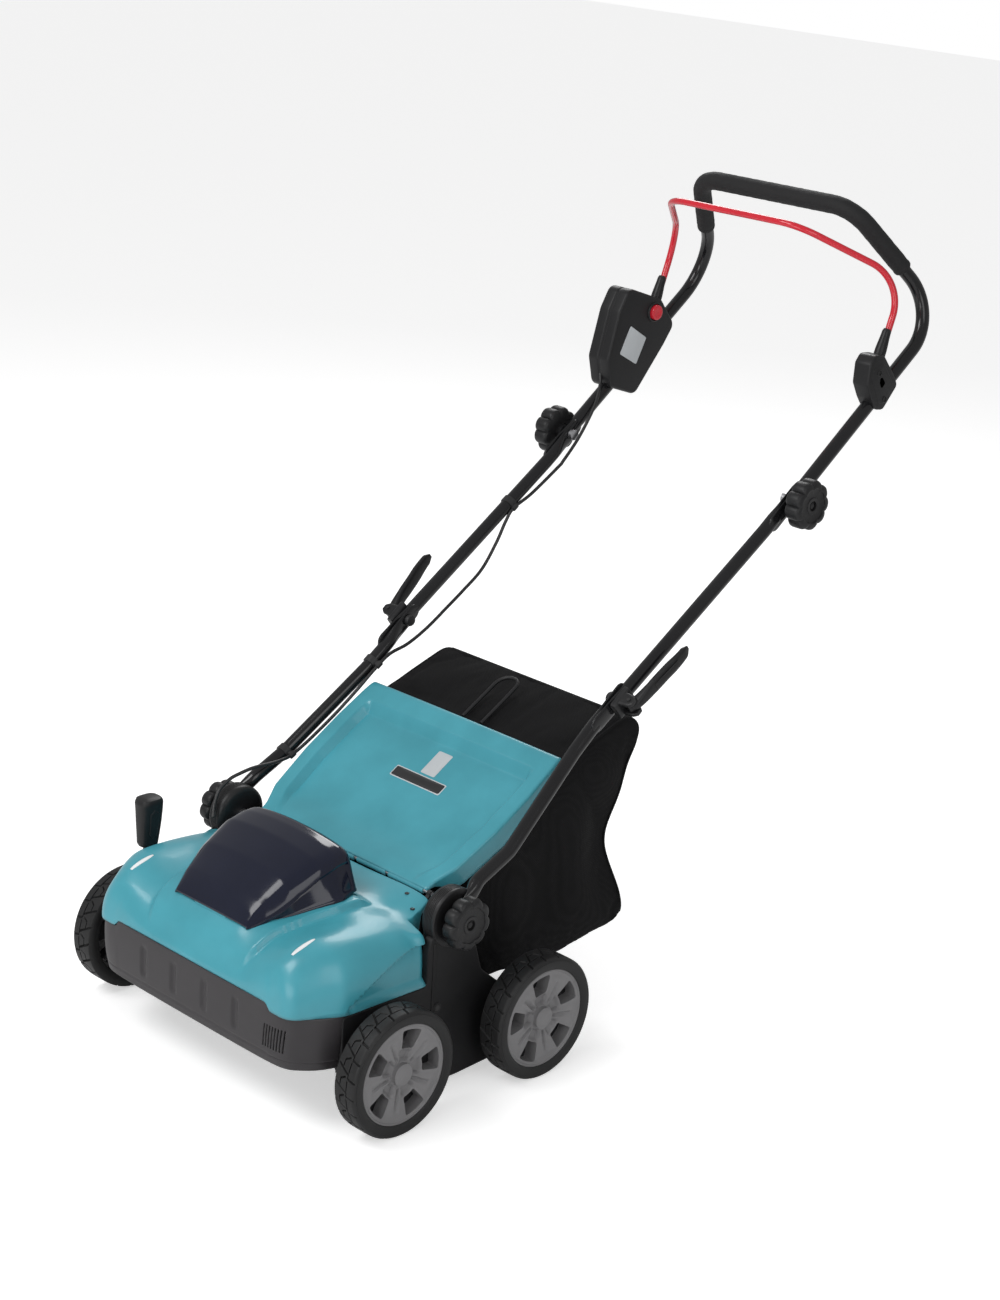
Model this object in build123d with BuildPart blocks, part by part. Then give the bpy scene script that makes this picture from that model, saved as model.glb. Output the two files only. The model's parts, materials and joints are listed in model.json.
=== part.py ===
from build123d import *
import math
import os

# A battery lawn dethatcher. X points to the machine's left, Y to the rear, Z up.
# The origin is on the ground, at mid width, halfway between the two axles.

# Driving dimensions, in millimetres
tyre_radius = 86.0
tyre_width = 40.0
width_over_tyres = 585.0
axle_y = 126.2
tube_radius = 9.75
reel_y = 5.0
tine_tip_radius = 70.0
base_pivot_y = 12.0
base_pivot_z = 240.5
cam_pivot_y = 312.0
cam_pivot_z = 470.0
top_pivot_y = 638.0
top_pivot_z = 700.0
bail_pivot_y = 800.0
bail_pivot_z = 850.0
flap_hinge_y = 16.0
flap_hinge_z = 255.0
flap_angle = 32.2
flap_length = 262.0
cover_hinge_y = -47.0
cover_hinge_z = 257.0

# Sizes that follow from them
running_gap = 0.08
axle_radius = 6.0
axle_z = tyre_radius
tyre_outer_x = width_over_tyres / 2
tyre_inner_x = tyre_outer_x - tyre_width
rim_radius = 69.0
deck_half_width = 226.0
deck_wall = 11.5
deck_inner_x = deck_half_width - deck_wall
crank_y = -158.0
reel_z = axle_z
tunnel_radius = tine_tip_radius + 8.0
motor_y = -165.0
motor_z = 131.0
motor_radius = 35.0
motor_pulley_radius = 15.0
reel_pulley_radius = 30.0
belt_thickness = 2.5
pulley_x = 190.0
pulley_width = 16.0
boss_radius = 40.5
boss_inner_x = 203.0
boss_outer_x = 228.0
knob_radius = 37.5
strap_thickness = 6.0
strap_width = 23.0
cam_face_x = 208.5
top_face_x = 216.2
bolt_radius = 4.0
base_bolt_radius = 5.0
hood_floor_z = 158.3
shell = 3.0

os.makedirs("parts", exist_ok=True)


def save(part, name):
    """Label a finished piece and write it to its own file."""
    part.label = name
    export_step(part, f"parts/{name}.step")


def disc(x_low, x_high, y, z, radius, mode=Mode.ADD):
    """A cylinder along X in the open part."""
    with BuildSketch(Plane.YZ.offset(x_low)) as profile:
        with Locations((y, z)):
            Circle(radius)
    extrude(profile.sketch, amount=x_high - x_low, mode=mode)


def slab(x_low, x_high, points, mode=Mode.ADD, corner=0.0):
    """A side profile of (y, z) points, extruded along X in the open part."""
    with BuildSketch(Plane.YZ.offset(x_low)) as profile:
        Polygon(*points, align=None)
        if corner > 0:
            fillet(profile.vertices(), corner)
    extrude(profile.sketch, amount=x_high - x_low, mode=mode)


def plate(z_low, z_high, points, mode=Mode.ADD, corner=0.0):
    """A plan outline of (x, y) points, extruded upwards in the open part."""
    with BuildSketch(Plane.XY.offset(z_low)) as profile:
        Polygon(*points, align=None)
        if corner > 0:
            fillet(profile.vertices(), corner)
    extrude(profile.sketch, amount=z_high - z_low, mode=mode)


def rod(points, radius):
    """A round rod along a smooth curve through the points, in the open part."""
    with BuildLine() as path:
        Spline(*points)
    with BuildSketch(Plane(origin=path.line @ 0, z_dir=path.line % 0)) as section:
        Circle(radius)
    sweep(section.sketch, path=path.line)


def tube(points, bend_radius, radius, bore=0.0, mode=Mode.ADD):
    """A round tube of straight lengths with rounded bends between them, in the open part."""
    with BuildLine() as path:
        if len(points) == 2:
            Line(*points)
        else:
            FilletPolyline(*points, radius=bend_radius)
    with BuildSketch(Plane(origin=path.line @ 0, z_dir=path.line % 0)) as section:
        Circle(radius)
        if bore > 0:
            Circle(bore, mode=Mode.SUBTRACT)
    sweep(section.sketch, path=path.line, mode=mode)


def across(points):
    """The same points on the other side, in reverse, to carry a path back down."""
    return [(-x, y, z) for x, y, z in reversed(points)]


def both_sides(half):
    """The points of the left half, from its end to the middle, and on to the right end."""
    return half + [(-x, y, z) for x, y, z in reversed(half[:-1])]


def strap(x_low, y, z, angle, behind, ahead, mode=Mode.ADD):
    """A flattened tube end around the pivot at (y, z), lying along the angle, in the open part."""
    along = math.radians(angle)
    middle = (ahead - behind) / 2
    with BuildSketch(Plane.YZ.offset(x_low)) as profile:
        with Locations(
            Location((y + middle * math.cos(along), z + middle * math.sin(along), 0), (0, 0, angle))
        ):
            RectangleRounded(behind + ahead, strap_width, strap_width / 2 - 0.5)
    extrude(profile.sketch, amount=strap_thickness, mode=mode)


def mirrored(piece):
    """The same piece on the machine's other side."""
    with BuildPart() as other:
        mirror(piece, about=Plane.YZ)
    return other.part


# Deck housing: two side walls, the tunnel around the reel and the front wall of the chute

wall_profile = [
    (-174, 74), (-174, 154), (-31, 154), (-31, 197), (44, 197), (64, 150), (112, 112),
    (142, 104), (142, 64), (104, 20), (96, 14), (30, 10), (-10, 10), (-50, 16),
    (-100, 36),
]
with BuildPart() as deck_housing:
    for side_x in (deck_inner_x, -deck_half_width):
        slab(side_x, side_x + deck_wall, wall_profile)
        disc(side_x, side_x + deck_wall, crank_y, axle_z, axle_radius + running_gap, Mode.SUBTRACT)
        disc(side_x, side_x + deck_wall, axle_y, axle_z, axle_radius + running_gap, Mode.SUBTRACT)
        disc(side_x, side_x + deck_wall, -13, 120, 4, Mode.SUBTRACT)
    tunnel_end_x = pulley_x - 3
    with BuildSketch(Plane.YZ.offset(-deck_inner_x)) as tunnel:
        with Locations((reel_y, reel_z)):
            Circle(tunnel_radius + shell)
            Circle(tunnel_radius, mode=Mode.SUBTRACT)
        with Locations((reel_y, 0)):
            Rectangle(400, 60 * 2, mode=Mode.SUBTRACT)
        with Locations((reel_y + 100, reel_z)):
            Rectangle(200, 400, mode=Mode.SUBTRACT)
    extrude(tunnel.sketch, amount=deck_inner_x + tunnel_end_x)
    pan_top_z = 170.5
    slab(-deck_inner_x, deck_inner_x, [(-174, pan_top_z - shell), (-174, pan_top_z), (-42, pan_top_z),
                                       (-42, 148), (-45, 148), (-45, pan_top_z - shell)])
    slab(-176, 176, [(-2, 163), (-2, 240), (1, 240), (1, 163)])
    slab(-deck_inner_x, deck_inner_x, [(98, 34), (110, 96), (113, 96), (101, 34)])
    for lug_x in (171.5, -177.5):
        slab(lug_x, lug_x + 6, [(-2, 232), (-2, 240), (flap_hinge_y - 2, 256),
                                (flap_hinge_y + 3, 250), (flap_hinge_y + 1, 246), (1, 232)])
        disc(lug_x, lug_x + 6, flap_hinge_y, flap_hinge_z, 4.2)
        disc(lug_x, lug_x + 6, flap_hinge_y, flap_hinge_z, 2.55, Mode.SUBTRACT)
save(deck_housing.part, "deck_housing")


# Front bumper: a fascia that wraps round both front corners

def bumper_outline(inset):
    right = [(226 - inset, -175), (223 - inset, -192), (197 - inset * 0.6, -231 + inset),
             (184, -240 + inset), (90, -242.5 + inset)]
    return right + [(-x, y) for x, y in reversed(right)]


with BuildPart() as front_bumper:
    plate(84, 157.8, bumper_outline(0))
    plate(157.8, 167.8, [(158, -200), (150, -240.6), (90, -242.5), (-90, -242.5),
                         (-150, -240.6), (-158, -200)])
    plate(80, 170, [(x, y + 0.5) for x, y in bumper_outline(4)], Mode.SUBTRACT)
    plate(80, 170, [(222, -190), (222, -170), (-222, -170), (-222, -190)], Mode.SUBTRACT)
    for vent in range(8):
        vent_x = 150 + vent * 4.8
        with BuildSketch(Plane.XZ.offset(230)) as slot:
            with Locations(Location((vent_x, 122, 0), (0, 0, 10))):
                RectangleRounded(2.4, 34, 1.1)
        extrude(slot.sketch, amount=16, mode=Mode.SUBTRACT)
    for dent_x in (-95, -32, 31, 94):
        with BuildSketch(Plane.XZ.offset(241.8)) as dent:
            with Locations((dent_x, 120)):
                RectangleRounded(5, 40, 2.4)
        extrude(dent.sketch, amount=8, mode=Mode.SUBTRACT)
save(front_bumper.part, "front_bumper")


# Top hood: an open shell with a bay for the batteries

def hood_block(inset, floor_z):
    """The hood's outer form, made smaller all round by the inset."""
    outline = [(194.5 - inset, -240 + inset), (229 - inset, -176), (229 - inset, -31 - inset),
               (192 - inset, -31 - inset), (180 - inset, 10.4 - inset)]
    outline = outline + [(-x, y) for x, y in reversed(outline)]
    crown = [(-250, floor_z), (-241 + inset, 172), (-237 + inset, 195), (-226 + inset, 214 - inset),
             (-208, 232 - inset), (-188, 240 - inset), (-150, 246 - inset), (-60, 251 - inset),
             (20, 257 - inset), (20, floor_z)]
    with BuildPart() as block:
        plate(floor_z, 290, outline)
        slab(-240, 240, crown, Mode.INTERSECT)
        shoulders = [(-240, floor_z), (240, floor_z), (229 - inset, 200 - inset),
                     (205 - inset, 236 - inset), (160, 262 - inset), (-160, 262 - inset),
                     (-205 + inset, 236 - inset), (-229 + inset, 200 - inset)]
        with BuildSketch(Plane.XZ.offset(260)) as front:
            Polygon(*shoulders, align=None)
        extrude(front.sketch, amount=-300, mode=Mode.INTERSECT)
    return block.part


hood_outside = hood_block(0, hood_floor_z)
hood_inside = hood_block(shell, hood_floor_z - 10)
bay_outline = [(77, -212), (126, -88), (115, -36), (-115, -36), (-126, -88), (-77, -212)]
with BuildPart() as top_hood:
    add(hood_outside)
    add(hood_inside, mode=Mode.SUBTRACT)
    plate(hood_floor_z, 300, bay_outline, Mode.SUBTRACT)
    plate(hood_floor_z - 1, 168.2, [(162, -250), (162, -230), (-162, -230), (-162, -250)], Mode.SUBTRACT)
    plate(hood_floor_z - 1, 168.2, [(deck_inner_x, -40), (deck_inner_x, 20), (-deck_inner_x, 20),
                                    (-deck_inner_x, -40)], Mode.SUBTRACT)
    plate(hood_floor_z - 1, 253, [(184, 0), (184, 20), (-184, 20), (-184, 0)], Mode.SUBTRACT)
save(top_hood.part, "top_hood")


# Handle bosses: ribbed discs, each on a tongue that stands inside the deck wall

with BuildPart() as handle_boss_left:
    disc(boss_inner_x, boss_outer_x, base_pivot_y, base_pivot_z, boss_radius - 2)
    with BuildSketch(Plane.YZ.offset(boss_inner_x)) as ribs:
        with Locations((base_pivot_y, base_pivot_z)):
            with PolarLocations(boss_radius - 2, 36):
                Rectangle(4, 3)
    extrude(ribs.sketch, amount=boss_outer_x - boss_inner_x - 3)
    slab(boss_inner_x, boss_inner_x + 10, [(-20, 172), (36, 172), (36, 230), (-20, 230)])
    disc(boss_inner_x - 1, boss_outer_x + 1, base_pivot_y, base_pivot_z,
         base_bolt_radius + running_gap, Mode.SUBTRACT)
handle_boss_right = mirrored(handle_boss_left.part)
save(handle_boss_left.part, "handle_boss_left")
save(handle_boss_right, "handle_boss_right")

with BuildPart() as base_bolt:
    disc(196, 202.8, base_pivot_y, base_pivot_z, 9)
    disc(202.8, 250, base_pivot_y, base_pivot_z, base_bolt_radius)
with BuildPart() as base_bolts:
    add(base_bolt.part)
    mirror(base_bolt.part, about=Plane.YZ)
save(base_bolts.part, "base_bolts")


# Star knobs

def star_knob(x_inner, x_outer, y, z, bolt, collar):
    """A knob with ten lobes on a bolt, with a dished outer face."""
    with BuildPart() as knob:
        with BuildSketch(Plane.YZ.offset(x_inner)) as star:
            with Locations((y, z)):
                Circle(knob_radius - 4)
                with PolarLocations(knob_radius - 7.5, 10):
                    Circle(7.5)
        extrude(star.sketch, amount=x_outer - x_inner)
        chamfer(knob.faces().sort_by(Axis.X)[-1].outer_wire().edges(), 1.2)
        disc(x_outer - 7, x_outer, y, z, knob_radius - 13, Mode.SUBTRACT)
        disc(collar, x_inner, y, z, 12)
        disc(collar, x_outer - 4, y, z, bolt + running_gap, Mode.SUBTRACT)
    return knob.part


base_knob_left = star_knob(237, 258, base_pivot_y, base_pivot_z, base_bolt_radius, 235.9)
save(base_knob_left, "base_knob_left")
save(mirrored(base_knob_left), "base_knob_right")
upper_knob_left = star_knob(231, 257, top_pivot_y, top_pivot_z, bolt_radius, 222.8)
save(upper_knob_left, "upper_knob_left")
save(mirrored(upper_knob_left), "upper_knob_right")


# Handle tubes: two lower, two middle and one bent upper handle

tube_angle = 37.6
lower_bends = [(224.5, 41, 275), (225, 106, 308), (206.5, 238, 411), (205.5, 262, 430)]
with BuildPart() as lower_tube_left:
    tube(lower_bends, 50, tube_radius)
    strap(229.3, base_pivot_y, base_pivot_z, 49, 14, 52)
    strap(cam_face_x - 0.2 - strap_thickness, cam_pivot_y, cam_pivot_z, 39, 70, 26)
    disc(225, 240, base_pivot_y, base_pivot_z, base_bolt_radius + running_gap, Mode.SUBTRACT)
    disc(195, 215, cam_pivot_y, cam_pivot_z, bolt_radius + running_gap, Mode.SUBTRACT)
save(lower_tube_left.part, "lower_tube_left")
save(mirrored(lower_tube_left.part), "lower_tube_right")


def ahead_of(y, z, angle, distance):
    """The (y, z) point at a distance from (y, z) along the angle."""
    return (y + distance * math.cos(math.radians(angle)), z + distance * math.sin(math.radians(angle)))


middle_start = ahead_of(cam_pivot_y, cam_pivot_z, 35, 33)
middle_end = ahead_of(top_pivot_y, top_pivot_z, 180 + tube_angle, 62)
with BuildPart() as middle_tube_left:
    tube([(213, *middle_start), (215.5, *middle_end)], 0, tube_radius)
    strap(cam_face_x + 0.2, cam_pivot_y, cam_pivot_z, 35, 58, 40)
    strap(top_face_x - 0.2 - strap_thickness, top_pivot_y, top_pivot_z, tube_angle, 70, 26)
    disc(200, 225, cam_pivot_y, cam_pivot_z, bolt_radius + running_gap, Mode.SUBTRACT)
    disc(200, 225, top_pivot_y, top_pivot_z, bolt_radius + running_gap, Mode.SUBTRACT)
save(middle_tube_left.part, "middle_tube_left")
save(mirrored(middle_tube_left.part), "middle_tube_right")

upper_start = ahead_of(top_pivot_y, top_pivot_z, tube_angle, 33)
upper_bends = [(218, *upper_start), (219, 938.6, 932), (142.5, 808, 1083)]
upper_bend_radii = [72, 52]
foam_start = (187.6, 883, 996)
with BuildPart() as upper_handle:
    tube(upper_bends + across(upper_bends), upper_bend_radii + upper_bend_radii[::-1], tube_radius)
    for x_low in (top_face_x + 0.2, -top_face_x - 0.2 - strap_thickness):
        strap(x_low, top_pivot_y, top_pivot_z, tube_angle, 58, 40)
        disc(x_low - 5, x_low + 11, top_pivot_y, top_pivot_z, bolt_radius + running_gap, Mode.SUBTRACT)
save(upper_handle.part, "upper_handle")

with BuildPart() as foam_grip:
    foam_bends = [foam_start, upper_bends[2]]
    tube(foam_bends + across(foam_bends), upper_bend_radii[1], 13.5, bore=tube_radius - 0.35)
save(foam_grip.part, "foam_grip")

with BuildPart() as upper_bolt:
    disc(203, 209.6, top_pivot_y, top_pivot_z, 8)
    disc(209.6, 250, top_pivot_y, top_pivot_z, bolt_radius)
with BuildPart() as upper_bolts:
    add(upper_bolt.part)
    mirror(upper_bolt.part, about=Plane.YZ)
save(upper_bolts.part, "upper_bolts")


# Cam clamps: a block on a bolt through both tubes, and a lever on a pin in the block

cam_angle = 39.0
cam_plane = Plane(
    origin=(0, cam_pivot_y, cam_pivot_z),
    x_dir=(1, 0, 0),
    z_dir=(0, -math.sin(math.radians(cam_angle)), math.cos(math.radians(cam_angle))),
)
cam_pin_x = 238.0
cam_hub_radius = 9.5


def cam_extrusion(points, low, high, mode=Mode.ADD):
    """An outline of (x, along the tube) points, extruded across the cam's plane."""
    with BuildSketch(cam_plane.offset(low)) as profile:
        Polygon(*points, align=None)
    extrude(profile.sketch, amount=high - low, mode=mode)


def cam_pin(radius, low, high, mode=Mode.ADD):
    with BuildSketch(cam_plane.offset(low)) as profile:
        with Locations((cam_pin_x, 0)):
            Circle(radius)
    extrude(profile.sketch, amount=high - low, mode=mode)


with BuildPart() as cam_block:
    cam_extrusion([(215, -15), (227, -15), (227, 15), (215, 15)], -14, 14)
    for low in (-14, 7.3):
        cam_extrusion([(227, -12), (246, -9), (246, 9), (227, 12)], low, low + 6.7)
    disc(201.9, 216, cam_pivot_y, cam_pivot_z, bolt_radius)
    disc(195, 201.9, cam_pivot_y, cam_pivot_z, 8)
    cam_pin(2.5, -14, 14)
with BuildPart() as cam_blocks:
    add(cam_block.part)
    mirror(cam_block.part, about=Plane.YZ)
save(cam_blocks.part, "cam_blocks")

with BuildPart() as cam_lever_left:
    cam_pin(cam_hub_radius, -7, 7)
    cam_extrusion([(238, 0), (247, 2), (248, 16), (236, 16), (229, 3)], -7, 7)
    cam_extrusion([(236, 15), (248, 15), (256, 60), (258, 104), (255, 112), (250, 110), (243, 60)], -11, 11)
    cam_pin(2.5 + running_gap, -15, 15, Mode.SUBTRACT)
save(cam_lever_left.part, "cam_lever_left")
save(mirrored(cam_lever_left.part), "cam_lever_right")


# Bail bar, its pivot housing on the left and the switch box on the right

bail_bends = [(214, bail_pivot_y + 2, bail_pivot_z + 6), (214.5, 849, 990), (120, 716, 1062)]
bail_bend_radii = [28, 60]
bail_radius = 4.25
bail_pin_radius = 3.0
with BuildPart() as bail_bar:
    tube(bail_bends + across(bail_bends), bail_bend_radii + bail_bend_radii[::-1], bail_radius)
    for side in (1, -1):
        x_low = min(side * 210, side * 218)
        disc(x_low, x_low + 8, bail_pivot_y, bail_pivot_z, 9)
        disc(x_low - 1, x_low + 9, bail_pivot_y, bail_pivot_z, bail_pin_radius + running_gap, Mode.SUBTRACT)
save(bail_bar.part, "bail_bar")

# The slot in which each end of the bail swings
bail_slot = [(788, 862), (790, 840), (810, 838), (814, 862), (862, 930), (770, 930)]
bored_length = [(218, *ahead_of(top_pivot_y, top_pivot_z, tube_angle, distance)) for distance in (80, 290)]

with BuildPart() as pivot_housing:
    slab(203.5, 233, [(767, 880), (766, 850), (778, 829), (791, 812), (807, 810), (836, 843),
                      (824, 861), (798, 890), (777, 892)], corner=3)
    slab(208.5, 219.5, bail_slot, Mode.SUBTRACT)
    tube(bored_length, 0, tube_radius + 0.7, mode=Mode.SUBTRACT)
    disc(206, 222, bail_pivot_y, bail_pivot_z, bail_pin_radius)
save(pivot_housing.part, "pivot_housing")

box_outline = [(732, 913), (809, 888), (842, 846), (822, 818), (778, 764), (713, 788), (705, 822),
               (721, 879)]
button_y = 793.5
button_z = 872.0
with BuildPart() as switch_box:
    slab(-243, -200, box_outline, corner=8)
    slab(-239, -206, [(738, 902), (782, 888), (782, 848), (738, 816), (722, 812), (722, 826),
                      (732, 872)], Mode.SUBTRACT, corner=3)
    slab(-219.5, -208.5, bail_slot, Mode.SUBTRACT)
    tube([(-x, y, z) for x, y, z in bored_length], 0, tube_radius + 0.7, mode=Mode.SUBTRACT)
    disc(-222, -206, bail_pivot_y, bail_pivot_z, bail_pin_radius)
    disc(-206.5, -199, button_y, button_z, 9.1, Mode.SUBTRACT)
save(switch_box.part, "switch_box")

with BuildPart() as lock_button:
    disc(-202, -193, button_y, button_z, 9)
    chamfer(lock_button.faces().sort_by(Axis.X)[-1].edges(), 1.5)
save(lock_button.part, "lock_button")

with BuildPart() as bail_switch:
    slab(-234, -212, [(742, 872), (742, 838), (772, 858), (772, 872)])
save(bail_switch.part, "bail_switch")


# Chute flap: a plate with skirts, hinged at its front edge

flap_plane = Plane(
    origin=(0, flap_hinge_y, flap_hinge_z),
    x_dir=(1, 0, 0),
    z_dir=(0, -math.sin(math.radians(flap_angle)), math.cos(math.radians(flap_angle))),
)
flap_top = 5.0


def flap_outline(inset):
    half = [(169 - inset, 0), (171 - inset, 16), (184 - inset, 46), (192 - inset, 118), (192 - inset, 190),
            (187.5 - inset, flap_length - inset)]
    return half + [(-x, y) for x, y in reversed(half)]


def flap_extrusion(points, low, high, mode=Mode.ADD):
    with BuildSketch(flap_plane.offset(low)) as profile:
        Polygon(*points, align=None)
    extrude(profile.sketch, amount=high - low, mode=mode)


with BuildPart() as chute_flap:
    flap_extrusion(flap_outline(0), flap_top - 25, flap_top)
    flap_extrusion(flap_outline(shell), flap_top - 30, flap_top - shell, Mode.SUBTRACT)
    flap_extrusion([(184.5, 240), (184.5, 270), (-184.5, 270), (-184.5, 240)], flap_top - 30,
                   flap_top - shell, Mode.SUBTRACT)
    flap_extrusion([(-200, -20), (200, -20), (200, 24), (-200, 24)], flap_top - 30, flap_top - shell,
                   Mode.SUBTRACT)
    flap_extrusion([(150, 26), (158, 236), (-158, 236), (-150, 26)], flap_top - 1.2, flap_top + 1,
                   Mode.SUBTRACT)
    disc(-166, 166, flap_hinge_y, flap_hinge_z, flap_top)
    disc(-180, 180, flap_hinge_y, flap_hinge_z, 2.5 + running_gap, Mode.SUBTRACT)
save(chute_flap.part, "chute_flap")

with BuildPart() as flap_hinge_rod:
    disc(-178, 178, flap_hinge_y, flap_hinge_z, 2.5)
save(flap_hinge_rod.part, "flap_hinge_rod")


# Battery cover, tray and packs

def cover_block(inset, drop):
    low = [(71 - inset, -207 + inset), (121 - inset, -86), (112 - inset, -53 - inset)]
    high = [(66 - inset, -196 + inset), (84 - inset, -84), (83 - inset, -63 - inset)]
    slope_low = math.degrees(math.atan2(258 - 229, -52 + 207))
    slope_high = math.degrees(math.atan2(313 - 243, -62 + 196))
    with BuildPart() as block:
        for points, z_front, y_front, slope in ((low, 229 - drop, -207, slope_low),
                                                (high, 243 - inset, -196, slope_high)):
            tilt = math.radians(slope)
            face = Plane(origin=(0, y_front, z_front), x_dir=(1, 0, 0),
                         z_dir=(0, -math.sin(tilt), math.cos(tilt)))
            outline = points + [(-x, y) for x, y in reversed(points)]
            with BuildSketch(face):
                Polygon(*[(x, (y - y_front) / math.cos(tilt)) for x, y in outline], align=None)
        loft(ruled=True)
    return block.part


cover_outside = cover_block(0, 0)
cover_inside = cover_block(2.5, 2)
with BuildPart() as battery_cover:
    add(cover_outside)
    add(cover_inside, mode=Mode.SUBTRACT)
    slab(-80, 80, [(-55, 256.5), (-55, 263), (cover_hinge_y, 261), (cover_hinge_y, 253)])
    disc(-80, 80, cover_hinge_y, cover_hinge_z, 4)
    disc(-86.9, 86.9, cover_hinge_y, cover_hinge_z, 2)
save(battery_cover.part, "battery_cover")

tray_angle = math.radians(20)
tray_plane = Plane(origin=(0, -104, 201), x_dir=(1, 0, 0), z_dir=(0, -math.sin(tray_angle), math.cos(tray_angle)))
pack_width = 69.0
pack_length = 112.0
pack_height = 57.0
with BuildPart() as battery_tray:
    with BuildSketch(tray_plane.offset(-3)) as tray_outline:
        RectangleRounded(2 * pack_width + 14, pack_length + 12, 6)
    extrude(tray_outline.sketch, amount=22)
    with BuildSketch(tray_plane) as tray_pocket:
        Rectangle(2 * pack_width + 8, pack_length + 6)
    extrude(tray_pocket.sketch, amount=30, mode=Mode.SUBTRACT)
    for x_low in (82.5, -87.0):
        slab(x_low, x_low + 4.5, [(-47, 223), (-50, 231), (cover_hinge_y - 5, cover_hinge_z),
                                  (cover_hinge_y + 5, cover_hinge_z), (-40, 225)])
        disc(x_low, x_low + 4.5, cover_hinge_y, cover_hinge_z, 5)
        disc(x_low - 1, x_low + 6, cover_hinge_y, cover_hinge_z, 2 + running_gap, Mode.SUBTRACT)
    for side in (1, -1):
        x_low = min(side * 60, side * 87)
        slab(x_low, x_low + 27, [(-47, 223), (-50, 231), (-43, 233), (-40, 225)])
save(battery_tray.part, "battery_tray")

with BuildPart() as battery_packs:
    with BuildSketch(tray_plane.offset(0.3)) as pack_outlines:
        with GridLocations(pack_width + 2, 0, 2, 1):
            RectangleRounded(pack_width, pack_length, 8)
    extrude(pack_outlines.sketch, amount=pack_height)
save(battery_packs.part, "battery_packs")

with BuildPart() as control_board:
    with BuildSketch(Plane.XY.offset(112)):
        with Locations((-105, -120)):
            RectangleRounded(90, 60, 4)
    extrude(amount=14)
save(control_board.part, "control_board")


# Motor and belt drive

with BuildPart() as motor_housing:
    disc(60, 176, motor_y, motor_z, motor_radius)
    disc(64, 172, motor_y, motor_z, motor_radius - 4, Mode.SUBTRACT)
    disc(59, 177, motor_y, motor_z, 5 + running_gap, Mode.SUBTRACT)
save(motor_housing.part, "motor_housing")

with BuildPart() as motor_rotor:
    disc(56, pulley_x + pulley_width, motor_y, motor_z, 5)
    disc(76, 150, motor_y, motor_z, 24)
    disc(154, 166, motor_y, motor_z, 28)
save(motor_rotor.part, "motor_rotor")


def pulley(y, z, radius, hub):
    with BuildPart() as wheel:
        disc(pulley_x, pulley_x + pulley_width, y, z, radius)
        disc(pulley_x, pulley_x + 2, y, z, radius + 4)
        disc(pulley_x + pulley_width - 2, pulley_x + pulley_width, y, z, radius + 4)
        disc(pulley_x - 1, pulley_x + pulley_width + 1, y, z, hub, Mode.SUBTRACT)
    return wheel.part


save(pulley(motor_y, motor_z, motor_pulley_radius, 5), "drive_pulley")
save(pulley(reel_y, reel_z, reel_pulley_radius, 8), "driven_pulley")

pulley_distance = math.hypot(reel_y - motor_y, reel_z - motor_z)
belt_tilt = math.degrees(math.atan2(reel_z - motor_z, reel_y - motor_y))


def belt_band(gap, x_low, x_high, mode):
    """The space inside a taut band around both pulleys, out to a gap from them."""
    small = motor_pulley_radius + gap
    large = reel_pulley_radius + gap
    lean = math.asin((large - small) / pulley_distance)
    rise = math.cos(lean)
    back = -math.sin(lean)
    corners = [
        (small * back, small * rise),
        (pulley_distance + large * back, large * rise),
        (pulley_distance + large * back, -large * rise),
        (small * back, -small * rise),
    ]
    with BuildSketch(Plane.YZ.offset(x_low)) as band:
        with Locations(Location((motor_y, motor_z, 0), (0, 0, belt_tilt))):
            Polygon(*corners, align=None)
        with Locations((motor_y, motor_z)):
            Circle(small)
        with Locations((reel_y, reel_z)):
            Circle(large)
    extrude(band.sketch, amount=x_high - x_low, mode=mode)


with BuildPart() as drive_belt:
    belt_band(0.15 + belt_thickness, pulley_x + 3, pulley_x + pulley_width - 3, Mode.ADD)
    belt_band(0.15, pulley_x + 2, pulley_x + pulley_width - 2, Mode.SUBTRACT)
save(drive_belt.part, "drive_belt")

with BuildPart() as belt_cover:
    slab(pulley_x - 3, pulley_x - 0.5, [(-212, 104), (-212, 160), (-45, 160), (-45, 140), (-50, 100),
                                        (-100, 104)])
    disc(pulley_x - 3, pulley_x - 0.5, reel_y, reel_z, tunnel_radius - 1)
    slab(pulley_x - 4, pulley_x, [(20, 165), (84, 165), (84, 5), (50, 5), (50, 100)], Mode.SUBTRACT)
    slab(pulley_x - 4, pulley_x, [(-60, 156), (100, 156), (100, 200), (-60, 200)], Mode.SUBTRACT)
    disc(pulley_x - 4, pulley_x, motor_y, motor_z, 10, Mode.SUBTRACT)
    disc(pulley_x - 4, pulley_x, reel_y, reel_z, 12, Mode.SUBTRACT)
save(belt_cover.part, "belt_cover")


# Reel: shaft, drum and spring tines, in two bearings

shaft_radius = 8.0
reel_end_x = 178.0
with BuildPart() as reel_shaft:
    disc(-211, 212, reel_y, reel_z, shaft_radius)
save(reel_shaft.part, "reel_shaft")

with BuildPart() as reel_drum:
    disc(-reel_end_x, reel_end_x, reel_y, reel_z, 24)
    disc(-reel_end_x - 1, reel_end_x + 1, reel_y, reel_z, shaft_radius, Mode.SUBTRACT)
save(reel_drum.part, "reel_drum")

tine_rows = 18
tine_pitch = 2 * (reel_end_x - 8) / (tine_rows - 1)
with BuildPart() as reel_tines:
    for row in range(tine_rows):
        tine_x = -reel_end_x + 8 + row * tine_pitch
        with BuildSketch(Plane.YZ.offset(tine_x - 1.5)) as tines:
            with Locations(Location((reel_y, reel_z, 0), (0, 0, row * 50))):
                with PolarLocations(24.05 + (tine_tip_radius - 24.05) / 2, 2):
                    Rectangle(tine_tip_radius - 24.05, 3)
        extrude(tines.sketch, amount=3)
save(reel_tines.part, "reel_tines")

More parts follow.
